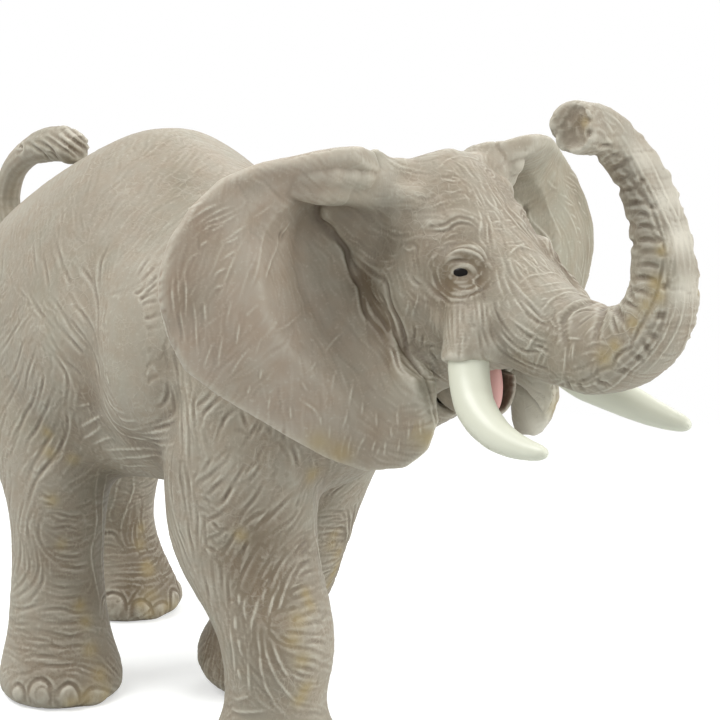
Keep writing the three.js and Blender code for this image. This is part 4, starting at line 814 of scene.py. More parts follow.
def strokes_of(table, tree):
    """The strokes' prints: small ones are thinned, and each one's depth wavers along its run."""
    waver_run, widest_jump = 9, 4
    rows = []
    dice = np.random.default_rng(11)
    for label, (width, depth, lines) in table.items():
        small = depth < 0.5
        width, depth = (width * 0.74, depth * 0.62) if small else (width * 0.8, depth * 0.6)
        depth *= -1 if label in RAISED else 0.7 if label in CALM else 1
        for line in lines:
            hits = on_skin(drawn(line), tree)
            knots = len(hits) // waver_run + 2
            heights = dice.uniform(0.5, 1.35, knots)
            waver = np.interp(np.arange(len(hits)) / waver_run, np.arange(knots), heights)
            fade = ends(len(hits), 0.36) * waver
            jump = np.zeros(len(hits), bool)
            jump[1:] = np.linalg.norm(np.diff(hits[:, :3], axis=0), axis=1) > widest_jump
            good = ~np.isnan(hits[:, 0]) & ~jump
            block = np.column_stack([hits, np.full(len(hits), width), depth * fade])[good]
            heading = np.zeros((len(block), 3))
            if len(block) > 1:
                heading = np.gradient(block[:, :3], axis=0)
            rows.append(np.column_stack([block, heading]))
    return np.vstack(rows)


def leg_middles(name):
    """Where a leg's middle lies at each height."""
    mesh = frame["nodes"][name].data
    places = np.array([vert.co for vert in mesh.vertices]) * MM
    heights = np.arange(1.0, SEAM_LEG, 3.0)
    middles = []
    for height in heights:
        ring = places[abs(places[:, 2] - height) < 3.5, :2]
        middles.append((ring.min(0) + ring.max(0)) / 2)
    return heights, np.array(middles)


def carried_over(samples, tree):
    """The near side's strokes on the far side of the animal, each leg's on the leg opposite."""
    between_legs, farthest = -20, 4
    far = samples.copy()
    low = far[:, 2] < SEAM_LEG
    for near_leg, far_leg, mine in (("right_rear_leg", "left_rear_leg", far[:, 0] < between_legs),
                                    ("right_front_leg", "left_front_leg", far[:, 0] > between_legs)):
        heights, near_middle = leg_middles(near_leg)
        _, far_middle = leg_middles(far_leg)
        chosen = low & mine
        for axis, turn in ((0, 1), (1, -1)):
            start = np.interp(far[chosen, 2], heights, near_middle[:, axis])
            end = np.interp(far[chosen, 2], heights, far_middle[:, axis])
            far[chosen, axis] = (far[chosen, axis] - start) * turn + end
    far[~low, 1] *= -1
    kept = []
    for row in far:
        place, way, _, distance = tree.find_nearest(Vector(row[:3]))
        if place and distance < farthest:
            kept.append((*place, *way, row[6], row[7] * 0.9, row[8], -row[9], row[10]))
    return np.array(kept)


def grown(points, normals, tree, guides, count, seed):
    """Small wrinkles that run the way the nearest large folds run, with short ones across them."""
    step, neighbours = 0.55, 6
    dice = np.random.default_rng(seed)
    guide_tree = KDTree(len(guides))
    for i, row in enumerate(guides):
        guide_tree.insert(row[:3], i)
    guide_tree.balance()
    ways = guides[:, 8:11] / np.maximum(np.linalg.norm(guides[:, 8:11], axis=1), 1e-9)[:, None]
    rows = []
    for start in dice.choice(len(points), count, replace=False):
        place, way = Vector(points[start]), Vector(normals[start])
        x, y, z = place
        ear = abs(y) > SEAM_EAR and 30 < x < EAR_FRONT
        back = z > 84 and x < SEAM_NECK
        crossing = dice.random() < (0.1 if ear else 0.3)
        length = dice.uniform(1.0, 2.6) if crossing else dice.uniform(3.0, 12.0)
        depth = dice.uniform(0.05, 0.15) * (0.55 if ear or back else 1.0) * (0.8 if crossing else 1)
        depth *= -0.8 if dice.random() < 0.42 else 1
        heading = None
        track = [(place, way)]
        for _ in range(int(length / step)):
            spread = np.zeros((3, 3))
            for _, index, distance in guide_tree.find_n(place, neighbours):
                spread += np.outer(ways[index], ways[index]) * math.exp(-((distance / 4) ** 2))
            main = Vector(np.linalg.eigh(spread + 1e-9 * np.eye(3))[1][:, 2])
            if crossing:
                main = way.cross(main)
            main -= way * main.dot(way)
            if main.length < 0.2:
                break
            main.normalize()
            if heading is None:
                heading = main if dice.random() < 0.5 else -main
            elif main.dot(heading) < 0:
                main = -main
            wobble = way.cross(heading) * dice.normal(0, 0.16)
            heading = (0.6 * heading + 0.4 * main + wobble).normalized() if len(track) > 1 else heading
            place, way, _, _ = tree.find_nearest(place + heading * step)
            if place is None:
                break
            track.append((place, way))
        if len(track) < 3:
            continue
        width = dice.uniform(0.22, 0.34)
        for (spot, side), share in zip(track, ends(len(track), 0.4)):
            rows.append((*spot, *side, width, depth * share))
    return np.array(rows)


def tree_of(points, quads):
    return BVHTree.FromPolygons(points.tolist(), quads.tolist())


def relief_of(points, quads, normals, rounds):
    """How far each point stands out of the skin smoothed by so many rounds."""
    calm = smoothed(points, quads, rounds, back=0)
    return ((points - calm) * normals).sum(1)


def reliefs(points, quads, normals, broad):
    """What the paint reads: the relief of fine edges and that of broad forms."""
    fine_edges, broad_forms = (relief_of(points, quads, normals, rounds) for rounds in (5, broad))
    return {"relief": fine_edges, "hollow": broad_forms}


def widened(samples, times):
    wide = samples.copy()
    wide[:, 6] *= times
    return wide


def sculpted(skin):
    """A calm skin with swells, folds, ridges and wrinkles on it, and what the paint reads there."""
    points, quads = skin
    normals = normals_of(points, quads)
    ochre = np.clip(brushed(points, normals, ochre_spots), 0, 1)
    # Painted shade and painted light from the table of brushes, partly the makers' brown airbrush.
    stain = np.clip(brushed(points, normals, stain_spots), -1, 1)
    points = points + normals * brushed(points, normals, swells)[:, None]
    normals = normals_of(points, quads)
    grooves = pressed(points, normals, folds, 1.3)
    shoulders = pressed(points, normals, widened(folds, 2.6), 2.2)
    raised = pressed(points, normals, ridges, 1.3)
    scratches = pressed(points, normals, fine[fine[:, 7] > 0], 1.1)
    lifts = pressed(points, normals, fine[fine[:, 7] < 0] * np.array((1, 1, 1, 1, 1, 1, 1, -1)), 1.1)
    height = 0.3 * shoulders - 1.25 * grooves + raised + lifts - 1.1 * scratches
    points = smoothed(points + normals * height[:, None], quads, 1)
    points[:, 2] = np.maximum(points[:, 2], 0)
    normals = normals_of(points, quads)
    facts = reliefs(points, quads, normals, 40)
    facts.update(groove=np.clip(grooves * 1.6 + scratches * 1.6, 0, 1), ochre=ochre, stain=stain)
    return points, quads, normals, facts


def kept_part(count, quads):
    """Which of so many points some quads use, and the quads renumbered for them."""
    used = np.unique(quads)
    index = np.full(count, -1)
    index[used] = np.arange(len(used))
    return used, index[quads]


calm_skins = {}
for label, (points, quads) in dict(body=body_skin, head=head_skin).items():
    calm_skins[label] = (smoothed(points, quads, 6), quads)
# The step where the trunk leaves the head is evened out.
for label, (points, quads) in calm_skins.items():
    belt = (abs(points[:, 0] - 75) < 6) & (points[:, 2] > 78)
    used, belt_quads = kept_part(len(points), quads[belt[quads].all(1)])
    even = smoothed(points[used], belt_quads, 20 if label == "body" else 70, back=0)
    share = np.exp(-((points[used, 0] - 75) / 2.6) ** 4)[:, None]
    points[used] += share * (even - points[used])
guide_points, guide_quads = calm_skins["body"]
skin_tree = tree_of(guide_points, guide_quads)
near_folds, near_ridges = strokes_of(FOLDS, skin_tree), strokes_of(RIDGES, skin_tree)
lines = np.vstack([near_folds, carried_over(near_folds, skin_tree)])
folds = lines[lines[:, 7] > 0]
ridges = np.vstack([near_ridges, carried_over(near_ridges, skin_tree)])


def on_both_sides(table):
    """Brushes of a table where they meet the skin, and their likenesses on the far side."""
    rows = []
    for across, down, radius, lift, *flatness in table:
        hit = on_skin([(across, down)], skin_tree)[0]
        if not np.isnan(hit[0]):
            rows.append((*hit, radius, lift, flatness[0] if flatness else 1))
    rows = np.array(rows)
    padded = np.column_stack([rows, np.zeros((len(rows), 2))])
    return np.vstack([rows, carried_over(padded, skin_tree)[:, :9]])


swells = on_both_sides(BRUSHES)
ochre_spots = on_both_sides([(*spot, 0.9) for spot in OCHRE])
stain_spots = on_both_sides(STAINS)
# Notches along the trunk's two outer edges, which give its outline small scallops. They lie on
# spokes round a hub in the middle of its curl, and every other one runs on over the inner face.
HUB_X, HUB_Z, HALF_NOTCH = 71.0, 106.0, 0.28
coil, coil_ways = trunk_form[0], normals_of(*trunk_form)
bearing = np.arctan2(coil[:, 2] - HUB_Z, coil[:, 0] - HUB_X)
spoke = np.hypot(coil[:, 2] - HUB_Z, coil[:, 0] - HUB_X)
dice = np.random.default_rng(5)
notches = []
for angle in np.cumsum(dice.uniform(0.105, 0.155, 20)) - 1.45:
    tilt = 0.05 * np.sin(coil[:, 1] * 0.7 + angle * 9)
    close = abs(bearing - angle - tilt) * spoke < HALF_NOTCH
    close &= (coil[:, 0] > SEAM_TRUNK + 1.5) & (bearing < 0.9)
    places, ways = coil[close], coil_ways[close]
    outward = ways[:, 0] * math.cos(angle) + ways[:, 2] * math.sin(angle)
    far_edge = 0.8 * np.exp(-((ways[:, 1] - 0.66) / 0.22) ** 2) * (outward > 0.1)
    near_edge = 0.42 * np.exp(-((ways[:, 1] + 0.74) / 0.12) ** 2) * (outward > 0.1)
    inner_face = 0.55 * np.clip(-outward * 1.6, 0, 1) * (len(notches) % 2)
    depth = dice.uniform(0.75, 1.1) * (far_edge + near_edge + inner_face)
    widths = 0.42 + 0.45 * far_edge + 0.3 * inner_face
    crossways = np.tile((0.0, 1.0, 0.0), (len(places), 1))
    notches.append(np.column_stack([places, ways, widths, depth, crossways])[depth > 0.08])
folds = np.vstack([folds, *notches])
# The trunk's end is a shallow dish inside its lip; its two nostrils are among the folds.
dish_middle = on_skin([(573.5, 125.5)], skin_tree)[0][:3]
swells = np.vstack([swells, [(*dish_middle, *Vector(TIP_WAY).normalized(), 3.25, -0.6, 4)]])
WRINKLES = 13000
fine = grown(guide_points, normals_of(guide_points, guide_quads), skin_tree, folds, WRINKLES, 7)
fine = np.vstack([fine, lines[lines[:, 7] < 0, :8]])


# Paint: the makers spray the hide in two browns, with clouds of a warmer and a cooler tone. A dark
# wash stays in the fine grooves, the broad hollows get painted shade, and brown patches are partly
# the makers' airbrush and partly painted shade, with lighter patches as painted light. Ochre lies in a
# few recesses, a dry brush of cream catches the ridges, and broad convex forms get a painted
# highlight of cream. All hide materials share this group; the vinyl is matt.
def math_node(tree, kind, first, second, clamp=False):
    node = tree.nodes.new("ShaderNodeMath")
    node.operation, node.use_clamp = kind, clamp
    for socket, value in zip(node.inputs, (first, second)):
        if isinstance(value, (int, float)):
            socket.default_value = value
        else:
            tree.links.new(value, socket)
    return node.outputs[0]


def mix_node(tree, factor, first, second, kind="MIX"):
    node = tree.nodes.new("ShaderNodeMix")
    node.data_type, node.blend_type = "RGBA", kind
    for socket, value in zip((node.inputs[0], node.inputs[6], node.inputs[7]), (factor, first, second)):
        if isinstance(value, (int, float, tuple)):
            socket.default_value = value
        else:
            tree.links.new(value, socket)
    return node.outputs[2]


COLOUR, NUMBER = "NodeSocketColor", "NodeSocketFloat"
washed = bpy.data.node_groups.new("washed_hide", "ShaderNodeTree")
for label, kind, value in (
        ("Base", COLOUR, (0.305, 0.275, 0.217, 1)), ("Second", COLOUR, (0.258, 0.228, 0.174, 1)),
        ("Wash", COLOUR, (0.13, 0.1, 0.07, 1)), ("Dry", COLOUR, (0.57, 0.54, 0.45, 1)),
        ("Ochre Tone", COLOUR, (0.33, 0.25, 0.1, 1)), ("Relief", NUMBER, 0.0), ("Hollow", NUMBER, 0.0),
        ("Groove", NUMBER, 0.0), ("Ochre", NUMBER, 0.0), ("Stain", NUMBER, 0.0), ("Net", NUMBER, 1.0)):
    washed.interface.new_socket(label, in_out="INPUT", socket_type=kind).default_value = value
for label, kind in (("Colour", COLOUR), ("Roughness", NUMBER), ("Height", NUMBER)):
    washed.interface.new_socket(label, in_out="OUTPUT", socket_type=kind)
given = washed.nodes.new("NodeGroupInput").outputs
result = washed.nodes.new("NodeGroupOutput").inputs
link = washed.links.new


def noise(scale, detail, stretch=None):
    node = washed.nodes.new("ShaderNodeTexNoise")
    node.inputs["Scale"].default_value = scale
    node.inputs["Detail"].default_value = detail
    place = washed.nodes.new("ShaderNodeTexCoord").outputs["Object"]
    if stretch:
        mapping = washed.nodes.new("ShaderNodeMapping")
        mapping.inputs["Rotation"].default_value, mapping.inputs["Scale"].default_value = stretch
        link(place, mapping.inputs["Vector"])
        place = mapping.outputs[0]
    link(place, node.inputs["Vector"])
    return node.outputs["Fac"]


def times(first, second, clamp=False):
    return math_node(washed, "MULTIPLY", first, second, clamp)


def plus(first, second):
    return math_node(washed, "ADD", first, second)


def ramped(value, gain, offset):
    """A value times the gain plus the offset, kept between nought and one."""
    found = math_node(washed, "MULTIPLY_ADD", value, gain, True)
    found.node.inputs[2].default_value = offset
    return found


def laid(tone, mask, share, colour):
    """A share of a colour over the tone where the mask says so."""
    return mix_node(washed, times(mask, share), tone, colour)


def shaded(tone, colour):
    return mix_node(washed, 1.0, tone, colour, "MULTIPLY")


mottle, grain = noise(55.0, 4.0), noise(900.0, 3.0)
tone = mix_node(washed, ramped(mottle, 2.6, -0.8), given["Base"], given["Second"])
tone = laid(tone, ramped(noise(260.0, 3.0), 3.0, -1.15), 0.6, shaded(tone, (0.93, 0.82, 0.74, 1)))
tone = laid(tone, ramped(noise(90.0, 3.0), 4.0, -2.0), 0.55, shaded(tone, (0.9, 0.97, 0.95, 1)))
tone = laid(tone, ramped(noise(1300.0, 2.0), 4.0, -2.35), 0.3, given["Dry"])
# Painted light: where the value is below nought, the hide is lightened towards a pale cream.
tone = mix_node(washed, times(given["Stain"], -1.0, True), tone, (0.78, 0.75, 0.64, 1))
# Painted shade, partly the makers' brown airbrush: above nought, the hide darkens towards brown in cloudy
# patches.
patchy = times(given["Stain"], plus(0.5, mottle), True)
tone = mix_node(washed, patchy, tone, shaded(tone, (0.52, 0.44, 0.35, 1)))
# Painted highlight: broad convex forms are lightened with cream.
tone = laid(tone, times(given["Hollow"], 0.9, True), 0.35, given["Dry"])
# A dark wash stays in the fine grooves, and the broad hollows get the same brown as painted shade.
low, deep = times(given["Relief"], -6.0, True), times(given["Hollow"], -1.1, True)
dirt = plus(plus(low, deep), times(given["Groove"], 0.1))
dirt = times(dirt, plus(0.55, times(mottle, 0.6)), True)
tone = mix_node(washed, math_node(washed, "MINIMUM", dirt, 0.8), tone, given["Wash"])
dry = times(times(given["Relief"], 12.0, True), plus(0.35, times(grain, 0.8)), True)
tone = laid(tone, dry, 0.75, given["Dry"])
tint = times(given["Ochre"], plus(0.25, times(mottle, 0.7)), True)
tone = mix_node(washed, tint, tone, given["Ochre Tone"])
# A loose net of fine raised cracks, bent by a noise and fading in and out over the hide.
bent = washed.nodes.new("ShaderNodeTexCoord").outputs["Object"]
wander = washed.nodes.new("ShaderNodeTexNoise")
wander.inputs["Scale"].default_value = 420.0
push = washed.nodes.new("ShaderNodeVectorMath")
push.operation = "MULTIPLY_ADD"
push.inputs[1].default_value = (0.0022, 0.0022, 0.0022)
link(bent, wander.inputs["Vector"])
link(wander.outputs["Color"], push.inputs[0])
link(bent, push.inputs[2])
nets = []
for scale, sharp in ((430.0, 13.0), (900.0, 8.0)):
    cracks = washed.nodes.new("ShaderNodeTexVoronoi")
    cracks.feature = "DISTANCE_TO_EDGE"
    cracks.inputs["Scale"].default_value = scale
    link(push.outputs[0], cracks.inputs["Vector"])
    line = math_node(washed, "SUBTRACT", 1.0, times(cracks.outputs["Distance"], sharp, True), True)
    nets.append(times(line, ramped(noise(scale * 0.3, 2.0), 4.0, -1.75)))
net = times(math_node(washed, "MAXIMUM", nets[0], times(nets[1], 0.6)), given["Net"])
link(laid(tone, net, 0.2, given["Dry"]), result["Colour"])
link(plus(0.5, times(grain, 0.2)), result["Roughness"])
fibres = noise(1.0, 2.5, ((0.05, 0.1, 0), (1500.0, 1500.0, 170.0)))
link(plus(plus(times(grain, 0.7), times(net, 0.7)), times(fibres, 0.9)), result["Height"])


def hide_material(name, tones, strength, net=1.0):
    material = bpy.data.materials.new(name)
    material.use_nodes = True
    tree = material.node_tree
    shader = tree.nodes["Principled BSDF"]
    paint = tree.nodes.new("ShaderNodeGroup")
    paint.node_tree = washed
    paint.inputs["Net"].default_value = net
    # The ears' own tones come in gradually from their roots outward.
    if tones:
        place, apart = tree.nodes.new("ShaderNodeTexCoord"), tree.nodes.new("ShaderNodeSeparateXYZ")
        outward = tree.nodes.new("ShaderNodeMapRange")
        outward.inputs["From Min"].default_value, outward.inputs["From Max"].default_value = 0.015, 0.03
        tree.links.new(place.outputs["Object"], apart.inputs[0])
        tree.links.new(math_node(tree, "ABSOLUTE", apart.outputs["Y"], 0), outward.inputs["Value"])
        for label, tone in tones.items():
            usual = tuple(paint.inputs[label].default_value)
            tree.links.new(mix_node(tree, outward.outputs["Result"], usual, (*tone, 1)), paint.inputs[label])
    for label in ("Relief", "Hollow", "Groove", "Ochre", "Stain"):
        value = tree.nodes.new("ShaderNodeAttribute")
        value.attribute_name = label.lower()
        tree.links.new(value.outputs["Fac"], paint.inputs[label])
    bump = tree.nodes.new("ShaderNodeBump")
    bump.inputs["Strength"].default_value = strength
    bump.inputs["Distance"].default_value = 0.0002
    tree.links.new(paint.outputs["Colour"], shader.inputs["Base Color"])
    tree.links.new(paint.outputs["Roughness"], shader.inputs["Roughness"])
    tree.links.new(paint.outputs["Height"], bump.inputs["Height"])
    tree.links.new(bump.outputs[0], shader.inputs["Normal"])
    shader.inputs["Specular IOR Level"].default_value = 0.4
    return material


hide = hide_material("hide_paint", {}, 0.5)
EAR_TONES = {"Base": (0.34, 0.295, 0.235), "Second": (0.3, 0.25, 0.195)}
# Painted light: the far ear's tones are a greener copy of the near ear's.
FAR_EAR_TONES = {"Base": (0.315, 0.295, 0.225), "Second": (0.28, 0.255, 0.19)}
paints = {"right_ear": hide_material("ear_paint", EAR_TONES, 0.4, 0.12),
          "left_ear": hide_material("green_ear_paint", FAR_EAR_TONES, 0.4, 0.12)}


def record(mesh, facts):
    """Stores what the paint reads on a mesh's points."""
    for label, values in facts.items():
        mesh.attributes.new(label, "FLOAT", "POINT").data.foreach_set("value", values.astype(np.float32))


def set_in(mesh, name, ending, paint):
    """Puts a finished mesh in the place of its solid."""
    body = bpy.data.objects.new(name + ending, mesh)
    bpy.context.scene.collection.objects.link(body)
    mesh.materials.append(paint)
    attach(body, "root")
    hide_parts(name)


def cut_off(form, place, way, is_near, is_loose):
    """Cuts a form along a plane, trying only the faces near it, and drops those that are loose."""
    near = [face for face in form.faces if is_near(face.calc_center_median())]
    edges = {edge for face in near for edge in face.edges}
    verts = {vert for face in near for vert in face.verts}
    bmesh.ops.bisect_plane(form, geom=[*verts, *edges, *near], plane_co=place, plane_no=way, dist=1e-4)
    loose = [face for face in form.faces if is_loose(face.calc_center_median())]
    bmesh.ops.delete(form, geom=loose, context="FACES")


def piece_from(skin, planes, side=None):
    """Part of the skin that lies inward of each plane, cut clean along the planes."""
    margin, reach = 1.2, 1.5
    points, quads, normals, facts = skin
    middle = points[quads].mean(1)
    inside = np.ones(len(quads), bool)
    for place, way in planes:
        inside &= (middle - np.array(place)) @ np.array(way) < margin
    if side is not None:
        inside &= side(middle)
    used, faces = kept_part(len(points), quads[inside])
    mesh = mesh_from(points[used], faces)
    record(mesh, {label: values[used] for label, values in facts.items()})
    stored = mesh.attributes.new("way_out", "FLOAT_VECTOR", "POINT")
    stored.data.foreach_set("vector", normals[used].astype(np.float32).ravel())
    form = bmesh.new()
    poured(form, mesh)
    for place, way in planes:
        place, way = Vector(place), Vector(way)
        cut_off(form, place, way, lambda middle: abs((middle - place).dot(way)) < reach,
                lambda middle: (middle - place).dot(way) > 0)
    return form


def thinned(mesh):
    """Meshes with more than 194000 triangles, such as the two body shells, are thinned a little to about
    188000. The two body shells are thinned a little, to stay below the triangles a piece may have.
    """
    most, wanted = 194000, 188000
    triangles = len(mesh.loops) - 2 * len(mesh.polygons)
    if triangles <= most:
        return mesh
    holder = bpy.data.objects.new("holder", mesh)
    bpy.context.scene.collection.objects.link(holder)
    thinner = holder.modifiers.new("thinner", "DECIMATE")
    thinner.ratio = wanted / triangles
    graph = bpy.context.evaluated_depsgraph_get()
    thin = bpy.data.meshes.new_from_object(holder.evaluated_get(graph), preserve_all_data_layers=True,
                                           depsgraph=graph)
    name = mesh.name
    bpy.data.objects.remove(holder)
    bpy.data.meshes.remove(mesh)
    thin.name = name
    thin.validate()
    return thin


def finish_piece(name, form):
    """Closes a piece's cuts with flat faces and lights its skin as one surface with its neighbours."""
    filled = bmesh.ops.holes_fill(form, edges=[edge for edge in form.edges if edge.is_boundary])["faces"]
    flat = bmesh.ops.triangulate(form, faces=filled)["faces"]
    for face in form.faces:
        face.smooth = True
    for face in flat:
        face.smooth = False
    bmesh.ops.recalc_face_normals(form, faces=form.faces[:])
    bmesh.ops.scale(form, vec=(1 / MM, 1 / MM, 1 / MM), verts=form.verts)
    mesh = mesh_of(form, name)
    mesh.validate()
    mesh = thinned(mesh)
    corners = np.empty(len(mesh.loops), np.int32)
    mesh.loops.foreach_get("vertex_index", corners)
    ways = np.empty(len(mesh.vertices) * 3, np.float32)
    mesh.attributes["way_out"].data.foreach_get("vector", ways)
    sides = ways.reshape(-1, 3)[corners]
    for face in mesh.polygons:
        if not face.use_smooth:
            sides[face.loop_start:face.loop_start + face.loop_total] = face.normal
    mesh.polygons.foreach_set("use_smooth", np.ones(len(mesh.polygons), bool))
    mesh.normals_split_custom_set(sides.tolist())
    mesh.attributes.remove(mesh.attributes["way_out"])
    set_in(mesh, name, "_skin", paints.get(name, hide))


# Body shells, legs, trunk and ears: casts of soft vinyl. The shells meet along the back and belly,
# the legs plug in under them, the trunk and the ears into the head. Each is the part of the skin
# behind its seams, given as places and ways, with a test that tells it from others there.
skins = {label: sculpted(skin) for label, skin in calm_skins.items()}
LEG_TOP, LEG_END = ((0, 0, SEAM_LEG), (0, 0, 1)), ((0, 0, SEAM_LEG), (0, 0, -1))
NECK, EAR_CUT = ((SEAM_NECK, 0, 0), (1, 0, 0)), ((EAR_FRONT, 0, 0), (1, 0, 0))
cuts = {
    "right_body_shell": ("body", [LEG_END, NECK, ((0, 0, 0), (0, 1, 0))], None),
    "left_body_shell": ("body", [LEG_END, NECK, ((0, 0, 0), (0, -1, 0))], None),
    "right_rear_leg": ("body", [LEG_TOP], lambda m: (m[:, 1] < -5) & (m[:, 0] < -25)),
    "left_rear_leg": ("body", [LEG_TOP], lambda m: (m[:, 1] > 5) & (m[:, 0] < -58)),
    "right_front_leg": ("body", [LEG_TOP], lambda m: (m[:, 0] > -9) & (m[:, 1] < -0.5)),
    "left_front_leg": ("body", [LEG_TOP], lambda m: (m[:, 0] > -40) & (m[:, 1] > -0.5)),
    "trunk": ("head", [((SEAM_TRUNK, 0, 0), (-1, 0, 0))], None),
    "right_ear": ("head", [((0, -SEAM_EAR, 0), (0, 1, 0)), EAR_CUT], lambda m: m[:, 0] > 29),
    "left_ear": ("head", [((0, SEAM_EAR, 0), (0, -1, 0)), EAR_CUT], lambda m: m[:, 0] > 29),
}
for name, (label, planes, side) in cuts.items():
    finish_piece(name, piece_from(skins[label], planes, side))

# Head: a cast of soft vinyl, glued on the neck. It keeps what lies between the ears and, ahead of
# them, the cheeks and the sheaths of the tusks.
form = piece_from(skins["head"], [((SEAM_NECK, 0, 0), (-1, 0, 0)), ((SEAM_TRUNK, 0, 0), (1, 0, 0))])
for turn in (1, -1):
    cut_off(form, (0, SEAM_EAR * turn, 0), (0, turn, 0),
            lambda middle: 12 < middle.y * turn < 16.5 and middle.x < EAR_FRONT,
            lambda middle: middle.y * turn > SEAM_EAR and middle.x < EAR_FRONT)
finish_piece("head", form)


# Tail: a bare stem that ends in a tuft of twisted hair, cast in one with it in soft vinyl and
# plugged into the rump.
def set_down(name, points, quads, paint, facts=None):
    """A small piece from its points in millimetres."""
    mesh = mesh_from(points / MM, quads)
    record(mesh, facts or {})
    mesh.shade_smooth()
    set_in(mesh, name, "_form", paint)


def remade(form, voxel, rounds):
    points, quads = remeshed(mesh_of(form, "lump"), voxel)
    return smoothed(points, quads, rounds, back=0.6), quads


form = copied(["tail"])
for centre, radii in (((-67.6, 0, 109.3), (3.3, 3.6, 3.8)), ((-70.0, 0, 111.0), (2.4, 2.6, 2.6)),
                      ((-74.5, 0, 109.5), (3.2, 3.2, 3.4)), ((-82.5, -1.2, 107.6), (1.6, 1.8, 1.3))):
    add_lump(form, centre, radii, detail=3)
points, quads = remade(form, 0.3, 5)
TWISTS = {
    "twists": (0.72, 1, (
        (35, 140.5, 43, 144, 50, 148.5, 57, 156, 62, 161), (44, 136, 52, 141, 60, 147, 68, 152, 76, 159),
        (50, 133, 58, 138, 66, 144, 74, 150, 83, 157), (60, 128, 68, 135, 76, 141, 84, 147, 90, 150),
        (66, 125, 74, 131, 82, 138, 89, 144), (48, 150, 55, 156, 60, 160), (15, 143, 22, 148, 17, 154),
        (25, 142, 34, 147, 44, 154, 50, 161), (40, 150, 46, 156, 50, 161), (72, 126, 80, 131, 86, 137))),
}
twists = strokes_of(TWISTS, tree_of(points, quads))
behind = twists[twists[:, 4] < -0.35]
behind[:, [1, 4]] *= -1
twists = np.vstack([twists, behind])
normals = normals_of(points, quads)
grooves = pressed(points, normals, twists, 1.3)
shoulders = pressed(points, normals, widened(twists, 2.2), 2.2)
points = points + normals * (0.5 * shoulders - 1.2 * grooves)[:, None]
facts = reliefs(points, quads, normals_of(points, quads), 30)
# The tail's paint grows darker towards the bottom.
facts.update(groove=np.clip(grooves * 1.6, 0, 1), stain=np.clip((100 - points[:, 2]) / 40, 0.15, 0.35))
set_down("tail", points, quads, hide, facts)

# Lower jaw: a hollow scoop of vinyl that hangs open under the trunk, glued to the head. Its inside is
# darkened with painted shade, and the rest of it a little.
JAW_TOP, JAW_FACE = 78.4, 58.0
form = bmesh.new()
add_lump(form, (52.6, 0, 76.6), (9.2, 5.9, 5.9), detail=5)
for vert in form.verts:
    x, y, z = vert.co
    z = min(z, JAW_TOP)
    if x > JAW_FACE:
        x = JAW_FACE
        inner = 1 - (y / 4.0) ** 2 - ((z - 77.4) / 4.9) ** 2
        if inner > 0:
            x = 58.4 - 8.2 * math.sqrt(inner)
    vert.co = (x, y * (1 - 0.02 * max(0, x - 50)), z)
points, quads = remade(form, 0.26, 4)
normals = normals_of(points, quads)
within = (((points[:, 1] / 4.3) ** 2 + ((points[:, 2] - 77.4) / 5.2) ** 2 < 1) & (points[:, 0] > 49.5)
          & (normals[:, 0] > -0.2))
facts = reliefs(points, quads, normals, 30)
# Painted shade: the inside of the scoop reads as a deep hollow and takes the full dark brown.
facts["hollow"] -= 1.5 * within
facts["stain"] = np.where(within, 1.0, 0.25)
set_down("lower_jaw", points, quads, hide, facts)


# Tongue: a leaf of vinyl that stands up in the scoop, on a root glued in its floor.
def plain(name, colour, roughness):
    material = bpy.data.materials.new(name)
    material.use_nodes = True
    shader = material.node_tree.nodes["Principled BSDF"]
    shader.inputs["Base Color"].default_value = (*colour, 1)
    shader.inputs["Roughness"].default_value = roughness
    return material


TONGUE_FOOT, TONGUE_MIDDLE = 72.6, 76.6
form = bmesh.new()
add_lump(form, (57.0, 0, TONGUE_MIDDLE), (0.95, 2.2, 4.0), detail=5)
for vert in form.verts:
    x, y, z = vert.co
    low = max(0, TONGUE_MIDDLE - z) / 4.0
    lean = 0.06 * (z - TONGUE_FOOT) * (1 if z > TONGUE_FOOT else 0)
    vert.co = (x - 0.25 * y * y + 0.35 - lean, y * (1 - 0.35 * low**2), z)
add_lump(form, (53.2, 0, 76.4), (3.8, 1.9, 1.3))
points, quads = remade(form, 0.2, 3)
set_down("tongue", points, quads, plain("tongue_paint", (0.6, 0.33, 0.3), 0.5))

# Tusks: smooth tapering casts of harder vinyl, round in section, with a blunt tip and a round root
# in the sheath. Their middle lines are drawn on the sheet: across, down, distance from the animal's
# middle plane and radius.
NEAR_TUSK = ((468, 352, -12.8, 3.25), (468.5, 366, -13.2, 3.3), (470, 385, -14.2, 3.25),
             (474, 405, -15.4, 3.2), (483, 421, -16.6, 3.0), (496.5, 435.5, -17.6, 2.6),
             (513, 445, -18.4, 2.1), (529, 450.5, -18.8, 1.6), (540, 452.8, -18.9, 1.25),
             (546, 453.6, -18.9, 0.75), (547.6, 453.8, -18.9, 0.2))
FAR_TUSK = ((552, 351, 12.8, 3.2), (566, 368, 13.4, 3.25), (586, 382, 14.4, 3.2), (607, 391, 15.6, 3.1),
            (630, 402, 16.8, 2.8), (651, 412, 17.8, 2.35), (669, 419, 18.5, 1.9), (682, 423.5, 18.8, 1.45),
            (688, 425.3, 18.9, 1.0), (690.5, 426, 18.9, 0.4))
RINGS, CORNERS = 60, 48
ivory = plain("ivory_paint", (0.585, 0.595, 0.49), 0.38)
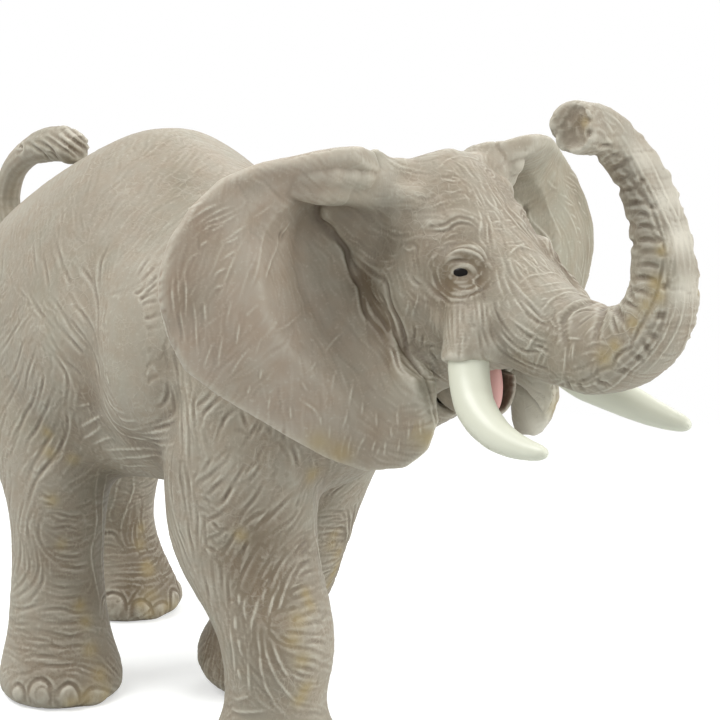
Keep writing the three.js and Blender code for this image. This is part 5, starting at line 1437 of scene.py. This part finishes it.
for name, line in (("right_tusk", NEAR_TUSK), ("left_tusk", FAR_TUSK)):
    knots = []
    for across, down, side, radius in line:
        ray = sight_line(across, down)
        knots.append((*(EYE_POINT + ray * ((side - EYE_POINT[1]) / ray[1])), radius))
    steps = np.linspace(0, len(knots) - 1, RINGS)
    path = np.stack([np.interp(steps, np.arange(len(knots)), column) for column in np.array(knots).T], 1)
    for _ in range(3):
        path[1:-1] = (path[:-2] + 2 * path[1:-1] + path[2:]) / 4
    form = bmesh.new()
    rings = []
    for i, (x, y, z, radius) in enumerate(path):
        way = Vector(path[min(i + 1, RINGS - 1), :3] - path[max(i - 1, 0), :3]).normalized()
        side = way.cross(Vector((0, 1, 0))).normalized()
        rise = way.cross(side)
        ring = []
        for t in np.linspace(0, 2 * math.pi, CORNERS, endpoint=False):
            arm = (side * math.cos(t) + rise * math.sin(t)) * float(radius)
            ring.append(form.verts.new(Vector((x, y, z)) + arm))
        rings.append(ring)
    for first, second in zip(rings, rings[1:]):
        for i in range(CORNERS):
            form.faces.new((first[i], first[i - 1], second[i - 1], second[i]))
    form.faces.new(rings[0])
    form.faces.new(rings[-1][::-1])
    bmesh.ops.recalc_face_normals(form, faces=form.faces[:])
    points, quads = remade(form, 0.25, 4)
    set_down(name, points, quads, ivory)

# Eyes: almond-shaped beads of hard plastic, painted a glossy black. Each is pressed into a socket
# between the lids and turned a little to the front.
eye_paint = plain("eye_paint", (0.008, 0.006, 0.005), 0.22)
eye_paint.node_tree.nodes["Principled BSDF"].inputs["Specular IOR Level"].default_value = 0.12
for name, turn in (("right_eye", -1), ("left_eye", 1)):
    middle = Vector((59.45, 10.3 * turn, 96.85))
    face = Vector((0.62, 0.74 * turn, 0.26)).normalized()
    level = Vector((face.y, -face.x, 0)).normalized()
    upright = face.cross(level)
    eye = bmesh.new()
    bmesh.ops.create_uvsphere(eye, u_segments=48, v_segments=32, radius=1)
    for vert in eye.verts:
        x, y, z = vert.co
        vert.co = middle + level * (2.1 * x) + upright * (1.36 * y * (1 - 0.25 * x * x)) + face * (1.1 * z)
    bmesh.ops.scale(eye, vec=(1 / MM, 1 / MM, 1 / MM), verts=eye.verts)
    bmesh.ops.recalc_face_normals(eye, faces=eye.faces[:])
    mesh = mesh_of(eye, name)
    mesh.shade_smooth()
    set_in(mesh, name, "_bead", eye_paint)
